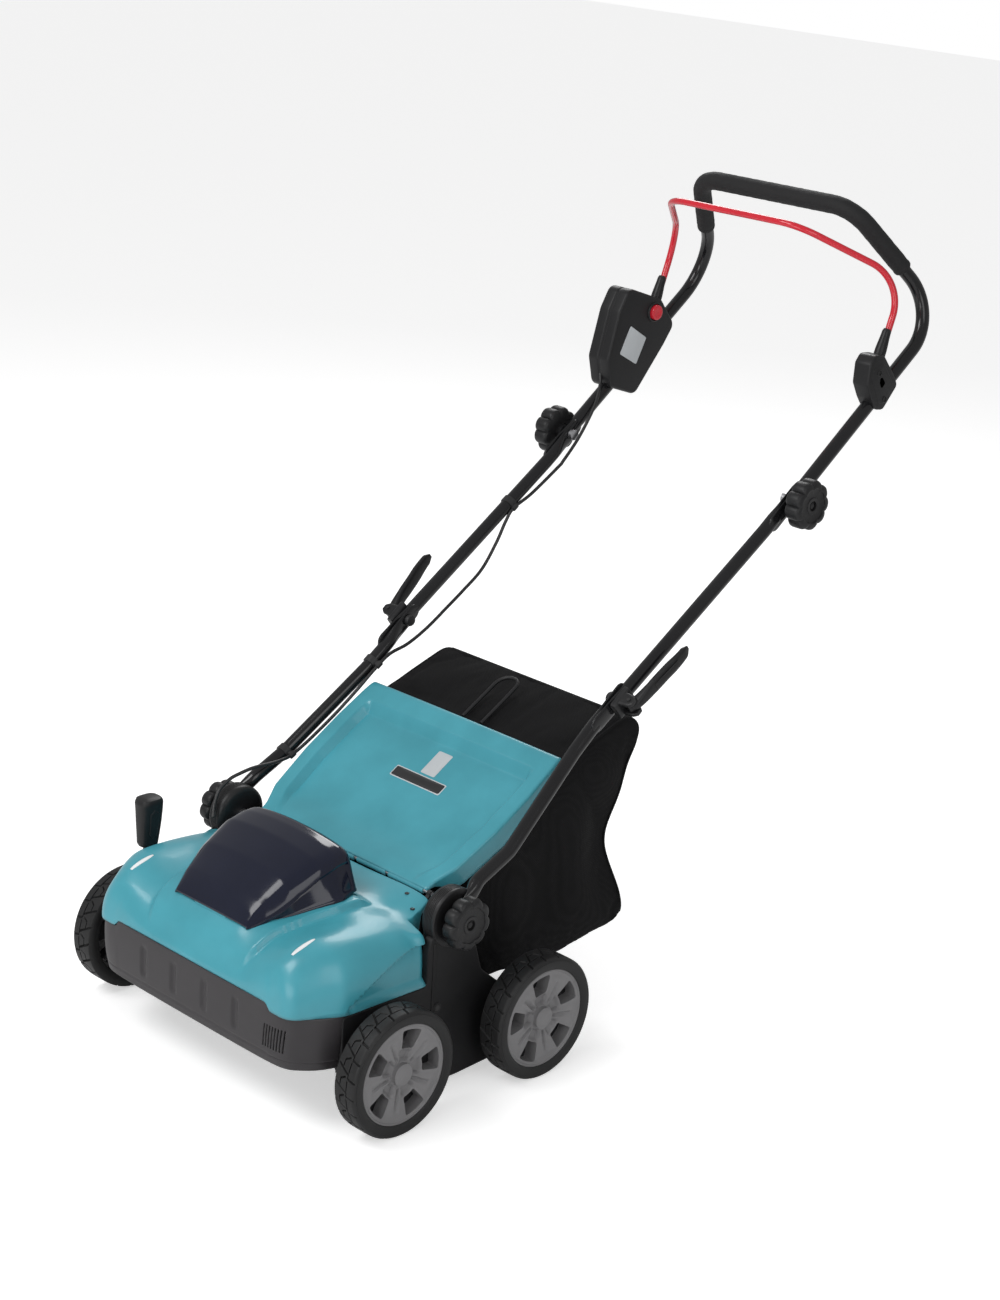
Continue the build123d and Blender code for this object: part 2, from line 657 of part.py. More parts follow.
with BuildPart() as reel_bearings:
    for x_low in (206.4, -214.4):
        disc(x_low, x_low + 8, reel_y, reel_z, 18)
        disc(x_low - 1, x_low + 9, reel_y, reel_z, shaft_radius + running_gap, Mode.SUBTRACT)
save(reel_bearings.part, "reel_bearings")


# Axles: a straight one at the rear, and a cranked one with the depth lever at the front

stub_end_x = 290.0
with BuildPart() as rear_axle:
    disc(-stub_end_x, stub_end_x, axle_y, axle_z, axle_radius)
save(rear_axle.part, "rear_axle")

crank_x = 231.0
with BuildPart() as front_axle:
    disc(-crank_x, crank_x, crank_y, axle_z, axle_radius)
    for side in (1, -1):
        x_low = min(side * crank_x, side * (crank_x + 6))
        with BuildSketch(Plane.YZ.offset(x_low)) as arm:
            with Locations(((crank_y - axle_y) / 2, axle_z)):
                SlotCenterToCenter(-axle_y - crank_y, 20)
        extrude(arm.sketch, amount=6)
        stub_low = min(side * (crank_x + 6), side * stub_end_x)
        disc(stub_low, stub_low + stub_end_x - crank_x - 6, -axle_y, axle_z, axle_radius)
save(front_axle.part, "front_axle")

lever_x = -crank_x - 6
with BuildPart() as depth_lever:
    disc(lever_x - 6, lever_x, crank_y, axle_z, 11)
    slab(lever_x - 6, lever_x, [(-168, 86), (-149, 86), (-143, 120), (-118, 150), (-107, 213),
                                (-121, 213), (-132, 156), (-160, 124)])
save(depth_lever.part, "depth_lever")

with BuildPart() as depth_lever_grip:
    slab(-266, -234, [(-132, 213.3), (-94, 213.3), (-98, 282), (-134, 284)], corner=6)
    chamfer(depth_lever_grip.faces().sort_by(Axis.X)[-1].edges(), 4)
save(depth_lever_grip.part, "depth_lever_grip")


# Wheels

groove_count = 26
with BuildPart() as tyre_front_left:
    with BuildSketch(Plane.XZ) as tyre_section:
        with BuildLine():
            Polyline((tyre_inner_x + 2, rim_radius), (tyre_inner_x, rim_radius + 5),
                     (tyre_inner_x, tyre_radius - 5), (tyre_inner_x + 5, tyre_radius),
                     (tyre_outer_x - 5, tyre_radius), (tyre_outer_x, tyre_radius - 5),
                     (tyre_outer_x, rim_radius + 5), (tyre_outer_x - 2, rim_radius), close=True)
        make_face()
    revolve(tyre_section.sketch, axis=Axis.X)
    groove_pitch = 360 / groove_count
    for groove_x, start in ((tyre_inner_x - 1, 0), (tyre_outer_x - 15, groove_pitch / 2)):
        with BuildSketch(Plane.YZ.offset(groove_x)) as grooves:
            with PolarLocations(tyre_radius, groove_count, start_angle=start):
                Rectangle(6, 4)
        extrude(grooves.sketch, amount=16, mode=Mode.SUBTRACT)
tyre_at_origin = tyre_front_left.part

window_count = 5
with BuildPart() as rim_at_origin:
    rim_inner_x = tyre_inner_x + 3
    rim_face_x = tyre_outer_x - 3
    disc(rim_inner_x, rim_face_x + 1.5, 0, 0, rim_radius - 0.1)
    disc(rim_inner_x, rim_face_x - 9, 0, 0, rim_radius - 5, Mode.SUBTRACT)
    disc(rim_inner_x, rim_face_x, 0, 0, 15)
    disc(rim_face_x - 2.5, rim_face_x + 2, 0, 0, rim_radius - 5.5, Mode.SUBTRACT)
    disc(rim_face_x - 10, rim_face_x + 6, 0, 0, 15)
    with BuildSketch(Plane.YZ.offset(rim_face_x - 12)) as windows:
        with PolarLocations(48, window_count):
            Trapezoid(23, 19, 76, align=(Align.CENTER, Align.CENTER), rotation=90)
    extrude(windows.sketch, amount=16, mode=Mode.SUBTRACT)
    with BuildSketch(Plane.YZ.offset(rim_face_x - 4)) as spoke_lines:
        with PolarLocations(38, window_count, start_angle=180 / window_count):
            Rectangle(34, 1.6)
    extrude(spoke_lines.sketch, amount=4, mode=Mode.SUBTRACT)
    disc(rim_inner_x - 1, stub_end_x + 0.6, 0, 0, axle_radius + running_gap, Mode.SUBTRACT)

wheel_places = {
    "front_left": (1, -axle_y), "front_right": (-1, -axle_y),
    "rear_left": (1, axle_y), "rear_right": (-1, axle_y),
}
for wheel_name, (side, y) in wheel_places.items():
    for kind, piece in (("tyre", tyre_at_origin), ("rim", rim_at_origin.part)):
        with BuildPart() as wheel_piece:
            with Locations((0, y, axle_z)):
                add(piece)
            if side < 0:
                mirror(about=Plane.YZ, mode=Mode.REPLACE)
        save(wheel_piece.part, f"{kind}_{wheel_name}")


# Grass bag with its wire frame and handle loop

bag_half_width = 181.0
bag_profile = [(74, 284), (84, 112), (118, 102), (273, 98), (400, 117), (357, 248), (406, 411),
               (374, 431), (250, 390), (232, 383)]
bag_hollow = [(70, 276), (70, 116), (119, 106), (272, 102), (394, 120), (353, 248), (400, 408),
              (374, 425), (252, 386), (233, 379), (90, 285)]
with BuildPart() as grass_bag:
    slab(-bag_half_width, bag_half_width, bag_profile)
    slab(-bag_half_width + 4, bag_half_width - 4, bag_hollow, Mode.SUBTRACT)
save(grass_bag.part, "grass_bag")

with BuildPart() as bag_frame:
    with BuildLine() as frame_path:
        FilletPolyline((-174, 96, 120), (174, 96, 120), (174, 92, 278), (-174, 92, 278), radius=12, close=True)
    with BuildSketch(Plane(origin=frame_path.line @ 0, z_dir=frame_path.line % 0)) as wire:
        Circle(2.5)
    sweep(wire.sketch, path=frame_path.line)
save(bag_frame.part, "bag_frame")

with BuildPart() as bag_handle_loop:
    rod(both_sides([(18, 254, 397), (18, 285, 414), (17.5, 312, 428.5), (10, 329, 438), (0, 333, 440)]), 2.6)
save(bag_handle_loop.part, "bag_handle_loop")


# Cable, in one length per body, and its clips on the lower tube

cable_radius = 2.5
with BuildPart() as cable_upper:
    rod([(-222, 706, 783), (-214, 698, 767), (-203, 677, 740), (-199, 643, 697), (-198, 610, 664)], cable_radius)
save(cable_upper.part, "cable_upper")

with BuildPart() as cable_middle:
    rod([(-198, 604, 659), (-200.5, 551, 624), (-202, 515, 606), (-202, 500, 588), (-202, 483, 558),
         (-202, 455, 521), (-202, 416, 493), (-200, 377, 470)], cable_radius)
save(cable_middle.part, "cable_middle")

with BuildPart() as cable_lower:
    rod([(-199, 371, 467), (-196, 339, 451), (-192, 302, 438), (-191, 267, 430), (-192, 240, 412),
         (-195, 209, 385), (-202, 168, 349), (-210, 114, 310), (-209, 82, 303), (-212, 39, 302)],
        cable_radius)
save(cable_lower.part, "cable_lower")

with BuildPart() as cable_deck:
    rod([(-211, 24, 298.5), (-211.5, 16, 297), (-214, 0, 291), (-216, -18, 279), (-213, -30, 262),
         (-206, -38, 248)], cable_radius)
save(cable_deck.part, "cable_deck")
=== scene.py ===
import json
import math

import bmesh
import bpy
import numpy as np
from mathutils import Matrix, Vector
from mathutils.bvhtree import BVHTree


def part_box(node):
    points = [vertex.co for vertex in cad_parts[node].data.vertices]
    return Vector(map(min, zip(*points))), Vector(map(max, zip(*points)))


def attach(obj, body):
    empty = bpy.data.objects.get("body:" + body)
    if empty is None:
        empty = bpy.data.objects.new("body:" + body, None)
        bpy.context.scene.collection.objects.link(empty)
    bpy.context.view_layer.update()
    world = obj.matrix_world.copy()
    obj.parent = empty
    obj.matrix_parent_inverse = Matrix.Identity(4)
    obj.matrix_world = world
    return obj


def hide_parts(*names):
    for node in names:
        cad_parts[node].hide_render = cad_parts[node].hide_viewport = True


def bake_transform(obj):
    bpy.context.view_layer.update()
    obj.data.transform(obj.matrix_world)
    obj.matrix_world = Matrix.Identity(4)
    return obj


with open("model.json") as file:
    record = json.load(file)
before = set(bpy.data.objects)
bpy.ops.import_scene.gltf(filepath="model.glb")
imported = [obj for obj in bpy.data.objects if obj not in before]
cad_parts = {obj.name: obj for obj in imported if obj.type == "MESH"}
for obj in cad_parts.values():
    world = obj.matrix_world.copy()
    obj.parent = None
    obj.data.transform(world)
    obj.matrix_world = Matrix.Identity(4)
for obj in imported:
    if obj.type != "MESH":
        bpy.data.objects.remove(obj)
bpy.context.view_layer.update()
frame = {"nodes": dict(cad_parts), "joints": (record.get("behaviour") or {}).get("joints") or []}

# All shapes below are written in millimetres in the row frame and scaled on the way into Blender.
MM = 0.001
HANDS = ((1, "left"), (-1, "right"))
scene = bpy.context.scene
joints = {joint["name"]: joint for joint in frame["joints"]}


def pivot(name):
    """A joint's position, in millimetres."""
    return np.array(joints[name]["pos_m"]) / MM


def box(node):
    low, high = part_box(node)
    return np.array(low) / MM, np.array(high) / MM


base_pivot = pivot("handle_base")
cam_pivot = pivot("cam_fold")
top_pivot = pivot("top_fold")
bail_pivot = pivot("bail_squeeze")
flap_pivot = pivot("flap_hinge")
cover_pivot = pivot("cover_hinge")


# Materials

def new_material(name):
    material = bpy.data.materials.new(name)
    material.use_nodes = True
    nodes = material.node_tree.nodes
    return material, nodes, material.node_tree.links, nodes["Principled BSDF"]


def noise(nodes, links, coords, scale, detail=3.0, stretch=None):
    texture = nodes.new("ShaderNodeTexNoise")
    texture.inputs["Scale"].default_value = scale
    texture.inputs["Detail"].default_value = detail
    source = coords.outputs["Object"]
    if stretch:
        mapping = nodes.new("ShaderNodeMapping")
        mapping.inputs["Scale"].default_value = stretch
        links.new(source, mapping.inputs["Vector"])
        source = mapping.outputs["Vector"]
    links.new(source, texture.inputs["Vector"])
    return texture.outputs["Fac"]


def ranged(nodes, links, value, low, high, from_low=0.3, from_high=0.7):
    node = nodes.new("ShaderNodeMapRange")
    node.inputs["From Min"].default_value = from_low
    node.inputs["From Max"].default_value = from_high
    node.inputs["To Min"].default_value = low
    node.inputs["To Max"].default_value = high
    links.new(value, node.inputs["Value"])
    return node.outputs["Result"]


def mixed(nodes, links, factor, first, second):
    node = nodes.new("ShaderNodeMix")
    node.data_type = "RGBA"
    links.new(factor, node.inputs[0])
    for socket, colour in ((node.inputs[6], first), (node.inputs[7], second)):
        if isinstance(colour, tuple):
            socket.default_value = (*colour, 1)
        else:
            links.new(colour, socket)
    return node.outputs[2]


def moulded(name, colour, rough, grain=1400.0, bump=0.12, edge_wear_and_highlight=0.12, stretch=None, coat=0.0, metal=0.0,
            dust=0.05, shine=0.5):
    """A surface with fine grain, uneven gloss, edges lightened partly as worn by rubbing and partly as a painted
    highlight, and a little dust in the hollows.
    """
    material, nodes, links, surface = new_material(name)
    coords = nodes.new("ShaderNodeTexCoord")
    broad = noise(nodes, links, coords, 14, 4)
    fine = noise(nodes, links, coords, grain, 2, stretch)
    darker = tuple(c * 0.9 for c in colour)
    lighter = tuple(min(1, c * 1.06 + 0.002) for c in colour)
    tone = mixed(nodes, links, ranged(nodes, links, broad, 0, 1), darker, lighter)
    geometry = nodes.new("ShaderNodeNewGeometry")
    # Convex edges are lightened: partly worn paler by rubbing, partly a painted highlight along the bevels.
    edge = ranged(nodes, links, geometry.outputs["Pointiness"], 0, edge_wear_and_highlight, 0.52, 0.62)
    rubbed_and_highlit = tuple(c * 0.75 + 0.12 for c in colour)
    tone = mixed(nodes, links, edge, tone, rubbed_and_highlit)
    hollow = ranged(nodes, links, geometry.outputs["Pointiness"], dust, 0, 0.38, 0.48)
    tone = mixed(nodes, links, hollow, tone, (0.16, 0.15, 0.13))
    links.new(tone, surface.inputs["Base Color"])
    links.new(ranged(nodes, links, broad, rough * 0.85, min(1, rough * 1.15)), surface.inputs["Roughness"])
    surface.inputs["Metallic"].default_value = metal
    surface.inputs["Coat Weight"].default_value = coat
    surface.inputs["Coat Roughness"].default_value = 0.08
    surface.inputs["Specular IOR Level"].default_value = shine
    bumps = nodes.new("ShaderNodeBump")
    bumps.inputs["Strength"].default_value = bump
    bumps.inputs["Distance"].default_value = 0.0006
    links.new(fine, bumps.inputs["Height"])
    links.new(bumps.outputs["Normal"], surface.inputs["Normal"])
    return material


def woven(name, colour, pitch_mm):
    """A plain weave: two crossed sets of threads, with painted shade where they sink, painted light where they
    rise, and uneven dye.
    """
    material, nodes, links, surface = new_material(name)
    coords = nodes.new("ShaderNodeTexCoord")
    threads = []
    for direction in ("X", "DIAGONAL"):
        wave = nodes.new("ShaderNodeTexWave")
        wave.bands_direction = direction
        thread_scale = 1 if direction == "X" else 1.4
        wave.inputs["Scale"].default_value = thread_scale * 2 * math.pi / (20 * pitch_mm * MM)
        wave.inputs["Distortion"].default_value = 1.2
        wave.inputs["Detail"].default_value = 1
        wave.inputs["Detail Scale"].default_value = 0.4
        links.new(coords.outputs["Object"], wave.inputs["Vector"])
        threads.append(wave.outputs["Fac"])
    weave = nodes.new("ShaderNodeMath")
    weave.operation = "MULTIPLY"
    links.new(threads[0], weave.inputs[0])
    links.new(threads[1], weave.inputs[1])
    broad = noise(nodes, links, coords, 9, 5)
    # Sunk threads are painted darker and raised threads lighter: painted shade between the threads, painted light
    # on their tops.
    sunk, raised = (tuple(c * share for c in colour) for share in (0.62, 1.5))
    faded = tuple(c * 1.5 + 0.003 for c in colour)
    tone = mixed(nodes, links, weave.outputs[0], sunk, raised)
    tone = mixed(nodes, links, ranged(nodes, links, broad, 0, 0.4), tone, faded)
    links.new(tone, surface.inputs["Base Color"])
    links.new(ranged(nodes, links, broad, 0.72, 0.9), surface.inputs["Roughness"])
    surface.inputs["Specular IOR Level"].default_value = 0.12
    bumps = nodes.new("ShaderNodeBump")
    bumps.inputs["Strength"].default_value = 0.5
    bumps.inputs["Distance"].default_value = 0.0006
    links.new(weave.outputs[0], bumps.inputs["Height"])
    links.new(bumps.outputs["Normal"], surface.inputs["Normal"])
    return material


# The teal's strong edge lightening is partly worn edges, partly a painted highlight on its bevels.
TEAL = moulded("teal_moulded", (0.054, 0.325, 0.40), 0.34, 1800, 0.05, edge_wear_and_highlight=0.35, coat=0.15, dust=0.02)
BUMPER = moulded("bumper_moulded", (0.040, 0.037, 0.040), 0.42, 1500, shine=0.35)
DECK = moulded("deck_moulded", (0.011, 0.011, 0.012), 0.5, 1200, 0.2, shine=0.25)
BLACK = moulded("black_moulded", (0.011, 0.011, 0.012), 0.40, 1500, 0.18, edge_wear_and_highlight=0.2, shine=0.3)
COVER = moulded("cover_glossy", (0.004, 0.006, 0.020), 0.12, 260, 0.01, edge_wear_and_highlight=0.05, coat=0.2, dust=0.0,
                shine=0.35)
PACK = moulded("pack_moulded", (0.03, 0.03, 0.032), 0.5)
BOARD = moulded("board_potting", (0.03, 0.12, 0.06), 0.5, 600)
STEEL = moulded("bare_steel", (0.5, 0.5, 0.52), 0.35, 900, 0.1, metal=1.0, stretch=(0.1, 1, 1))
TINE = moulded("tine_steel", (0.36, 0.36, 0.37), 0.4, 900, 0.15, metal=1.0)
TUBE = moulded("tube_gloss_black", (0.008, 0.008, 0.009), 0.16, 500, 0.03, edge_wear_and_highlight=0.1, coat=0.3, dust=0.0,
               shine=0.3)
FOAM = moulded("grip_foam", (0.017, 0.017, 0.018), 0.7, 2600, 0.45, edge_wear_and_highlight=0.0, shine=0.3)
RED = moulded("red_gloss", (0.66, 0.010, 0.028), 0.18, 500, 0.03, coat=0.4, dust=0.0)
TYRE = moulded("tyre_rubber", (0.014, 0.014, 0.0145), 0.5, 1300, 0.2, edge_wear_and_highlight=0.15, shine=0.3)
RIM = moulded("rim_moulded", (0.185, 0.182, 0.187), 0.42, 1500, 0.1, edge_wear_and_highlight=0.3)
BELT = moulded("belt_rubber", (0.02, 0.02, 0.02), 0.7)
CABLE = moulded("cable_sheath", (0.012, 0.012, 0.013), 0.38, 900, 0.08)
FABRIC = woven("bag_weave", (0.0075, 0.0075, 0.008), 2.2)
LABEL = moulded("blank_label", (0.55, 0.58, 0.60), 0.4, 700, 0.03)
LABEL_DARK = moulded("blank_strip", (0.015, 0.015, 0.016), 0.35, 700, 0.03)
PAINT = moulded("white_paint", (0.85, 0.87, 0.88), 0.35, 700, 0.03)


# Geometry helpers

def smooth(low, high, value):
    """0 below low, 1 above high and a smooth step between."""
    t = np.clip((np.asarray(value, float) - low) / (high - low), 0, 1)
    return t * t * (3 - 2 * t)


def curve_through(points, count):
    """Evenly spaced points along a Catmull-Rom curve through the points."""
    points = np.array(points, float)
    ends = np.vstack([2 * points[0] - points[1], points, 2 * points[-1] - points[-2]])
    dense = []
    for i in range(len(points) - 1):
        a, b, c, d = ends[i:i + 4]
        for t in np.linspace(0, 1, 24, endpoint=False):
            dense.append(0.5 * (2 * b + (c - a) * t + (2 * a - 5 * b + 4 * c - d) * t ** 2
                                + (3 * b - a - 3 * c + d) * t ** 3))
    return spaced(np.vstack([dense, points[-1:]]), count)


def spaced(points, count):
    points = np.asarray(points, float)
    length = np.concatenate([[0], np.cumsum(np.linalg.norm(np.diff(points, axis=0), axis=1))])
    wanted = np.linspace(0, length[-1], count)
    return np.stack([np.interp(wanted, length, points[:, k]) for k in range(points.shape[1])], 1)


def arc(corner, u, v, half, bend, step):
    """The round bend between the directions u and v that leave a corner at twice the half angle."""
    start, end = (corner + way * bend / math.tan(half) for way in (u, v))
    centre = corner + (u + v) / np.linalg.norm(u + v) * bend / math.sin(half)
    sweep = math.pi - 2 * half
    shares = np.linspace(0, 1, max(3, int(sweep * bend / step)))[:, None]
    return centre + ((start - centre) * np.sin((1 - shares) * sweep)
                     + (end - centre) * np.sin(shares * sweep)) / math.sin(sweep)


def bent(points, radius, step=4.0):
    """Points along straight lengths joined by round bends, as a bent tube runs."""
    points = np.array(points, float)
    radii = radius if isinstance(radius, list) else [radius] * (len(points) - 2)
    path = [points[0]]
    for before, corner, after, bend in zip(points, points[1:], points[2:], radii):
        u = (before - corner) / np.linalg.norm(before - corner)
        v = (after - corner) / np.linalg.norm(after - corner)
        half = math.acos(np.clip(u @ v, -1, 1)) / 2
        path.extend(arc(corner, u, v, half, bend, step))
    path.append(points[-1])
    path = np.array(path)
    total = np.linalg.norm(np.diff(path, axis=0), axis=1).sum()
    return spaced(path, max(4, int(total / step)))


def rounded(outline, radius, step=2.0):
    """A closed 2-D outline with round corners."""
    outline = np.array(outline, float)
    radii = radius if isinstance(radius, (list, tuple)) else [radius] * len(outline)
    path = []
    for i, corner in enumerate(outline):
        before, after = outline[i - 1], outline[(i + 1) % len(outline)]
        u, v = before - corner, after - corner
        lu, lv = np.linalg.norm(u), np.linalg.norm(v)
        u, v = u / lu, v / lv
        half = math.acos(np.clip(u @ v, -1, 1)) / 2
        reach = min(radii[i] / math.tan(half), 0.48 * lu, 0.48 * lv)
        bend = reach * math.tan(half)
        if bend < 0.05 or half > 1.55:
            path.append(corner)
        else:
            path.extend(arc(corner, u, v, half, bend, step))
    return np.array(path)


def taper(count, shares, values):
    """A size for each of a path's points, read between the shares of its length."""
    return np.interp(np.linspace(0, 1, count), shares, values)


def band(x, low, high, fade):
    """1 between low and high, falling smoothly to 0 over the fade on either side."""
    return smooth(low - fade, low, x) * smooth(high + fade, high, x)


def across(points):
    """The same points on the other side, in reverse, to carry a path back down."""
    return [(-x, y, z) for x, y, z in reversed(points)]


class Shape:
    """Gathers points and faces for one piece."""

    def __init__(self):
        self.verts = []
        self.faces = []
        self.count = 0

    def grid(self, points, wrap_cols=False, flip=False):
        """Rows of points joined into four-sided faces. Returns the first point's number."""
        points = np.asarray(points, float)
        rows, cols = points.shape[:2]
        first = self.count
        self.verts.append(points.reshape(-1, 3))
        self.count += rows * cols
        for r in range(rows - 1):
            for c in range(cols if wrap_cols else cols - 1):
                c2 = (c + 1) % cols
                corners = ((r, c), (r, c2), (r + 1, c2), (r + 1, c))
                face = [first + row * cols + col for row, col in corners]
                self.faces.append(face[::-1] if flip else face)
        return first

    def cap(self, first, count, flip=False):
        face = list(range(first, first + count))
        self.faces.append(face[::-1] if flip else face)

    def loft(self, rings, ends=True):
        """Closed rings joined in turn, with both ends closed."""
        rings = np.asarray(rings, float)
        first = self.grid(rings, wrap_cols=True)
        if ends:
            self.cap(first, rings.shape[1], True)
            self.cap(first + (rings.shape[0] - 1) * rings.shape[1], rings.shape[1])

    def sweep(self, path, half_x, half_y=None, sides=20, power=2.0, start=(1, 0, 0)):
        """A tube along a path. Its section is half_x by half_y, round or squared off by the power."""
        path = np.asarray(path, float)
        half_y = half_x if half_y is None else half_y
        half_x, half_y = np.broadcast_to(half_x, len(path)), np.broadcast_to(half_y, len(path))
        tangents = np.gradient(path, axis=0)
        tangents /= np.linalg.norm(tangents, axis=1)[:, None]
        angle = np.linspace(0, 2 * math.pi, sides, endpoint=False)
        c = np.sign(np.cos(angle)) * np.abs(np.cos(angle)) ** (2 / power)
        s = np.sign(np.sin(angle)) * np.abs(np.sin(angle)) ** (2 / power)
        across_axis = np.array(start, float)
        rings = []
        for point, tangent, a, b in zip(path, tangents, half_x, half_y):
            across_axis = across_axis - (across_axis @ tangent) * tangent
            across_axis /= np.linalg.norm(across_axis)
            up = np.cross(tangent, across_axis)
            rings.append(point + np.outer(c * a, across_axis) + np.outer(s * b, up))
        self.loft(rings)

    def turned(self, profile, y, z, sides=64, radius_at=None, ends=True):
        """A profile of (x, radius) turned about the X axis through (y, z)."""
        angle = np.linspace(0, 2 * math.pi, sides, endpoint=False)
        rings = []
        for x, radius in profile:
            r = np.full(sides, float(radius))
            if radius_at is not None:
                r = radius_at(angle, x, radius)
            rings.append(np.stack([np.full(sides, x), y + r * np.cos(angle), z + r * np.sin(angle)], 1))
        self.loft(rings, ends)

    def pillow(self, outline, x_low, x_high, edge, corner=4.0, dome=0.0):
        """A (y, z) outline between two X faces, with round edges all the way round."""
        ring = rounded(outline, corner)
        area = 0.5 * np.sum(ring[:, 0] * np.roll(ring[:, 1], -1) - np.roll(ring[:, 0], -1) * ring[:, 1])
        if area < 0:
            ring = ring[::-1]
        ahead = np.roll(ring, -1, 0) - np.roll(ring, 1, 0)
        ahead /= np.linalg.norm(ahead, axis=1)[:, None]
        inward = np.stack([-ahead[:, 1], ahead[:, 0]], 1)
        steps = np.linspace(0, math.pi / 2, 6)
        levels = [(x_low + edge * (1 - math.sin(t)), edge * (1 - math.cos(t))) for t in steps[::-1]]
        levels += [(x_high - edge * (1 - math.sin(t)), edge * (1 - math.cos(t))) for t in steps]
        rings = [np.column_stack([np.full(len(ring), x), ring + inward * inset]) for x, inset in levels]
        if dome:
            centre = ring.mean(0)
            for share, lift in ((0.6, 0.8), (0.2, 1.0)):
                flat = centre + (ring + inward * edge - centre) * share
                rings.append(np.column_stack([np.full(len(ring), x_high + dome * lift), flat]))
        self.loft(rings)

    def piece(self, name, materials, body, slot_name, sharp=38.0, replaces=(), flip_x=False):
        verts = np.vstack(self.verts) * MM
        faces = self.faces
        if flip_x:
            verts = verts * np.array([-1, 1, 1])
            faces = [face[::-1] for face in faces]
        mesh = bpy.data.meshes.new(name)
        mesh.from_pydata(verts.tolist(), [], faces)
        materials = materials if isinstance(materials, list) else [materials]
        for material in materials:
            mesh.materials.append(material)
        mesh.polygons.foreach_set("use_smooth", [True] * len(faces))
        mesh.update()
        mesh.set_sharp_from_angle(angle=math.radians(sharp))
        obj = bpy.data.objects.new(name, mesh)
        scene.collection.objects.link(obj)
        if body:
            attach(obj, body)
        if replaces:
            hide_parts(*replaces)
        return obj


def recolour(obj, test, index):
    """Faces whose centre, in millimetres, passes the test take another of the piece's materials."""
    for polygon in obj.data.polygons:
        if test(np.array(polygon.center) / MM):
            polygon.material_index = index


def thicken(obj, thickness, offset=-1.0):
    """Gives an open sheet a wall, inward by default."""
    modifier = obj.modifiers.new("wall", "SOLIDIFY")
    modifier.thickness = thickness * MM
    modifier.offset = offset


def soften(obj, width):
    """Rounds an object's sharp edges."""
    modifier = obj.modifiers.new("edges", "BEVEL")
    modifier.width = width * MM
    modifier.segments = 2
    modifier.limit_method = "ANGLE"
    modifier.angle_limit = math.radians(35)


def apply_modifiers(obj):
    bpy.context.view_layer.objects.active = obj
    with bpy.context.temp_override(object=obj, active_object=obj, selected_objects=[obj]):
        for modifier in list(obj.modifiers):
            bpy.ops.object.modifier_apply(modifier=modifier.name)


def tps(points, values):
    """A smooth surface through scattered (x, y) points: returns a function of (x, y)."""
    points, values = np.array(points, float), np.array(values, float)

    def kernel(d):
        return np.where(d > 1e-9, d * d * np.log(np.maximum(d, 1e-9)), 0)

    n = len(points)
    matrix = np.zeros((n + 3, n + 3))
    matrix[:n, :n] = kernel(np.linalg.norm(points[:, None] - points[None], axis=2)) + np.eye(n) * 40
    matrix[:n, n], matrix[n, :n] = 1, 1
    matrix[:n, n + 1:], matrix[n + 1:, :n] = points, points.T
    weights = np.linalg.solve(matrix, np.concatenate([values, np.zeros(3)]))

    def surface(x, y):
        x, y = np.broadcast_arrays(np.asarray(x, float), np.asarray(y, float))
        at = np.stack([x.ravel(), y.ravel()], 1)
        d = np.linalg.norm(at[:, None] - points[None], axis=2)
        return (kernel(d) @ weights[:n] + weights[n] + at @ weights[n + 1:]).reshape(x.shape)

    return surface


# Top hood

hood_low, hood_high = box("top_hood")
hood_front, hood_side = hood_low[1], hood_high[0]
hood_floor = hood_low[2]
hood_seam_y = hood_high[1]

crown_points = [
    (0, -232, 200), (60, -232, 200), (99, -229, 204), (0, -212, 222), (60, -210, 224),
    (96, -160, 236), (112, -110, 246), (120, -70, 250), (120, -36, 250), (60, -40, 250), (0, -40, 250),
    (0, 8, 258), (80, 8, 258), (169, 8, 257), (150, -20, 250),
    (130, -225, 216), (165, -226, 222), (165, -210, 234), (165, -191, 241), (165, -172, 245.5),
    (165, -120, 247.5), (165, -60, 246), (150, -36, 245),
    (200, -214, 222), (200, -177, 238), (200, -135, 241.5), (200, -66, 238), (200, -34, 236),
    (222, -176, 226), (224, -100, 232), (224, -36, 228), (140, -170, 240), (140, -120, 244),
]
crown_xy = [(side * x, y) for x, y, z in crown_points for side in ((1, -1) if x else (1,))]
crown_z = [z for x, y, z in crown_points for side in ((1, -1) if x else (1,))]
crown = tps(crown_xy, crown_z)


def plateau(x, y):
    """How far a point lies inside the raised surround of the battery bay, from 0 to 1."""
    half = np.interp(y, [-245, -229, -215, -190, -150, -100, -60], [84, 97, 103, 106, 114, 128, 134])
    return smooth(-2.5, 3.0, half - np.abs(x)) * (1 - smooth(-70, -45, y)) * smooth(-238, -226, y)


def hood_top(x, y):
    return crown(x, y) + 9.0 * plateau(x, y) - 4.5


def polar_outline(outline, corner, centre, angles):
    """Where rays at the angles from the centre meet a rounded closed outline."""
    ring = rounded(outline, corner, 1.5) - centre
    ring = spaced(np.vstack([ring, ring[:1]]), 3000)
    bearing = np.unwrap(np.arctan2(ring[:, 1], ring[:, 0]))
    distance = np.linalg.norm(ring, axis=1)
    if bearing[-1] < bearing[0]:
        bearing, distance = bearing[::-1], distance[::-1]
    turns = bearing[0] + np.mod(angles - bearing[0], 2 * math.pi)
    return np.interp(turns, bearing, distance)


hood_plan = [(194.5, hood_front), (hood_side, -176), (hood_side, -31), (191, -31), (181, hood_seam_y),
             (-181, hood_seam_y), (-191, -31), (-hood_side, -31), (-hood_side, -176), (-194.5, hood_front)]
hood_corners = [26, 34, 9, 5, 4, 4, 5, 9, 34, 26]
bay_plan = [(69, -206), (120, -88), (112, -50), (-112, -50), (-120, -88), (-69, -206)]
hood_centre = np.array([0.0, -118.0])
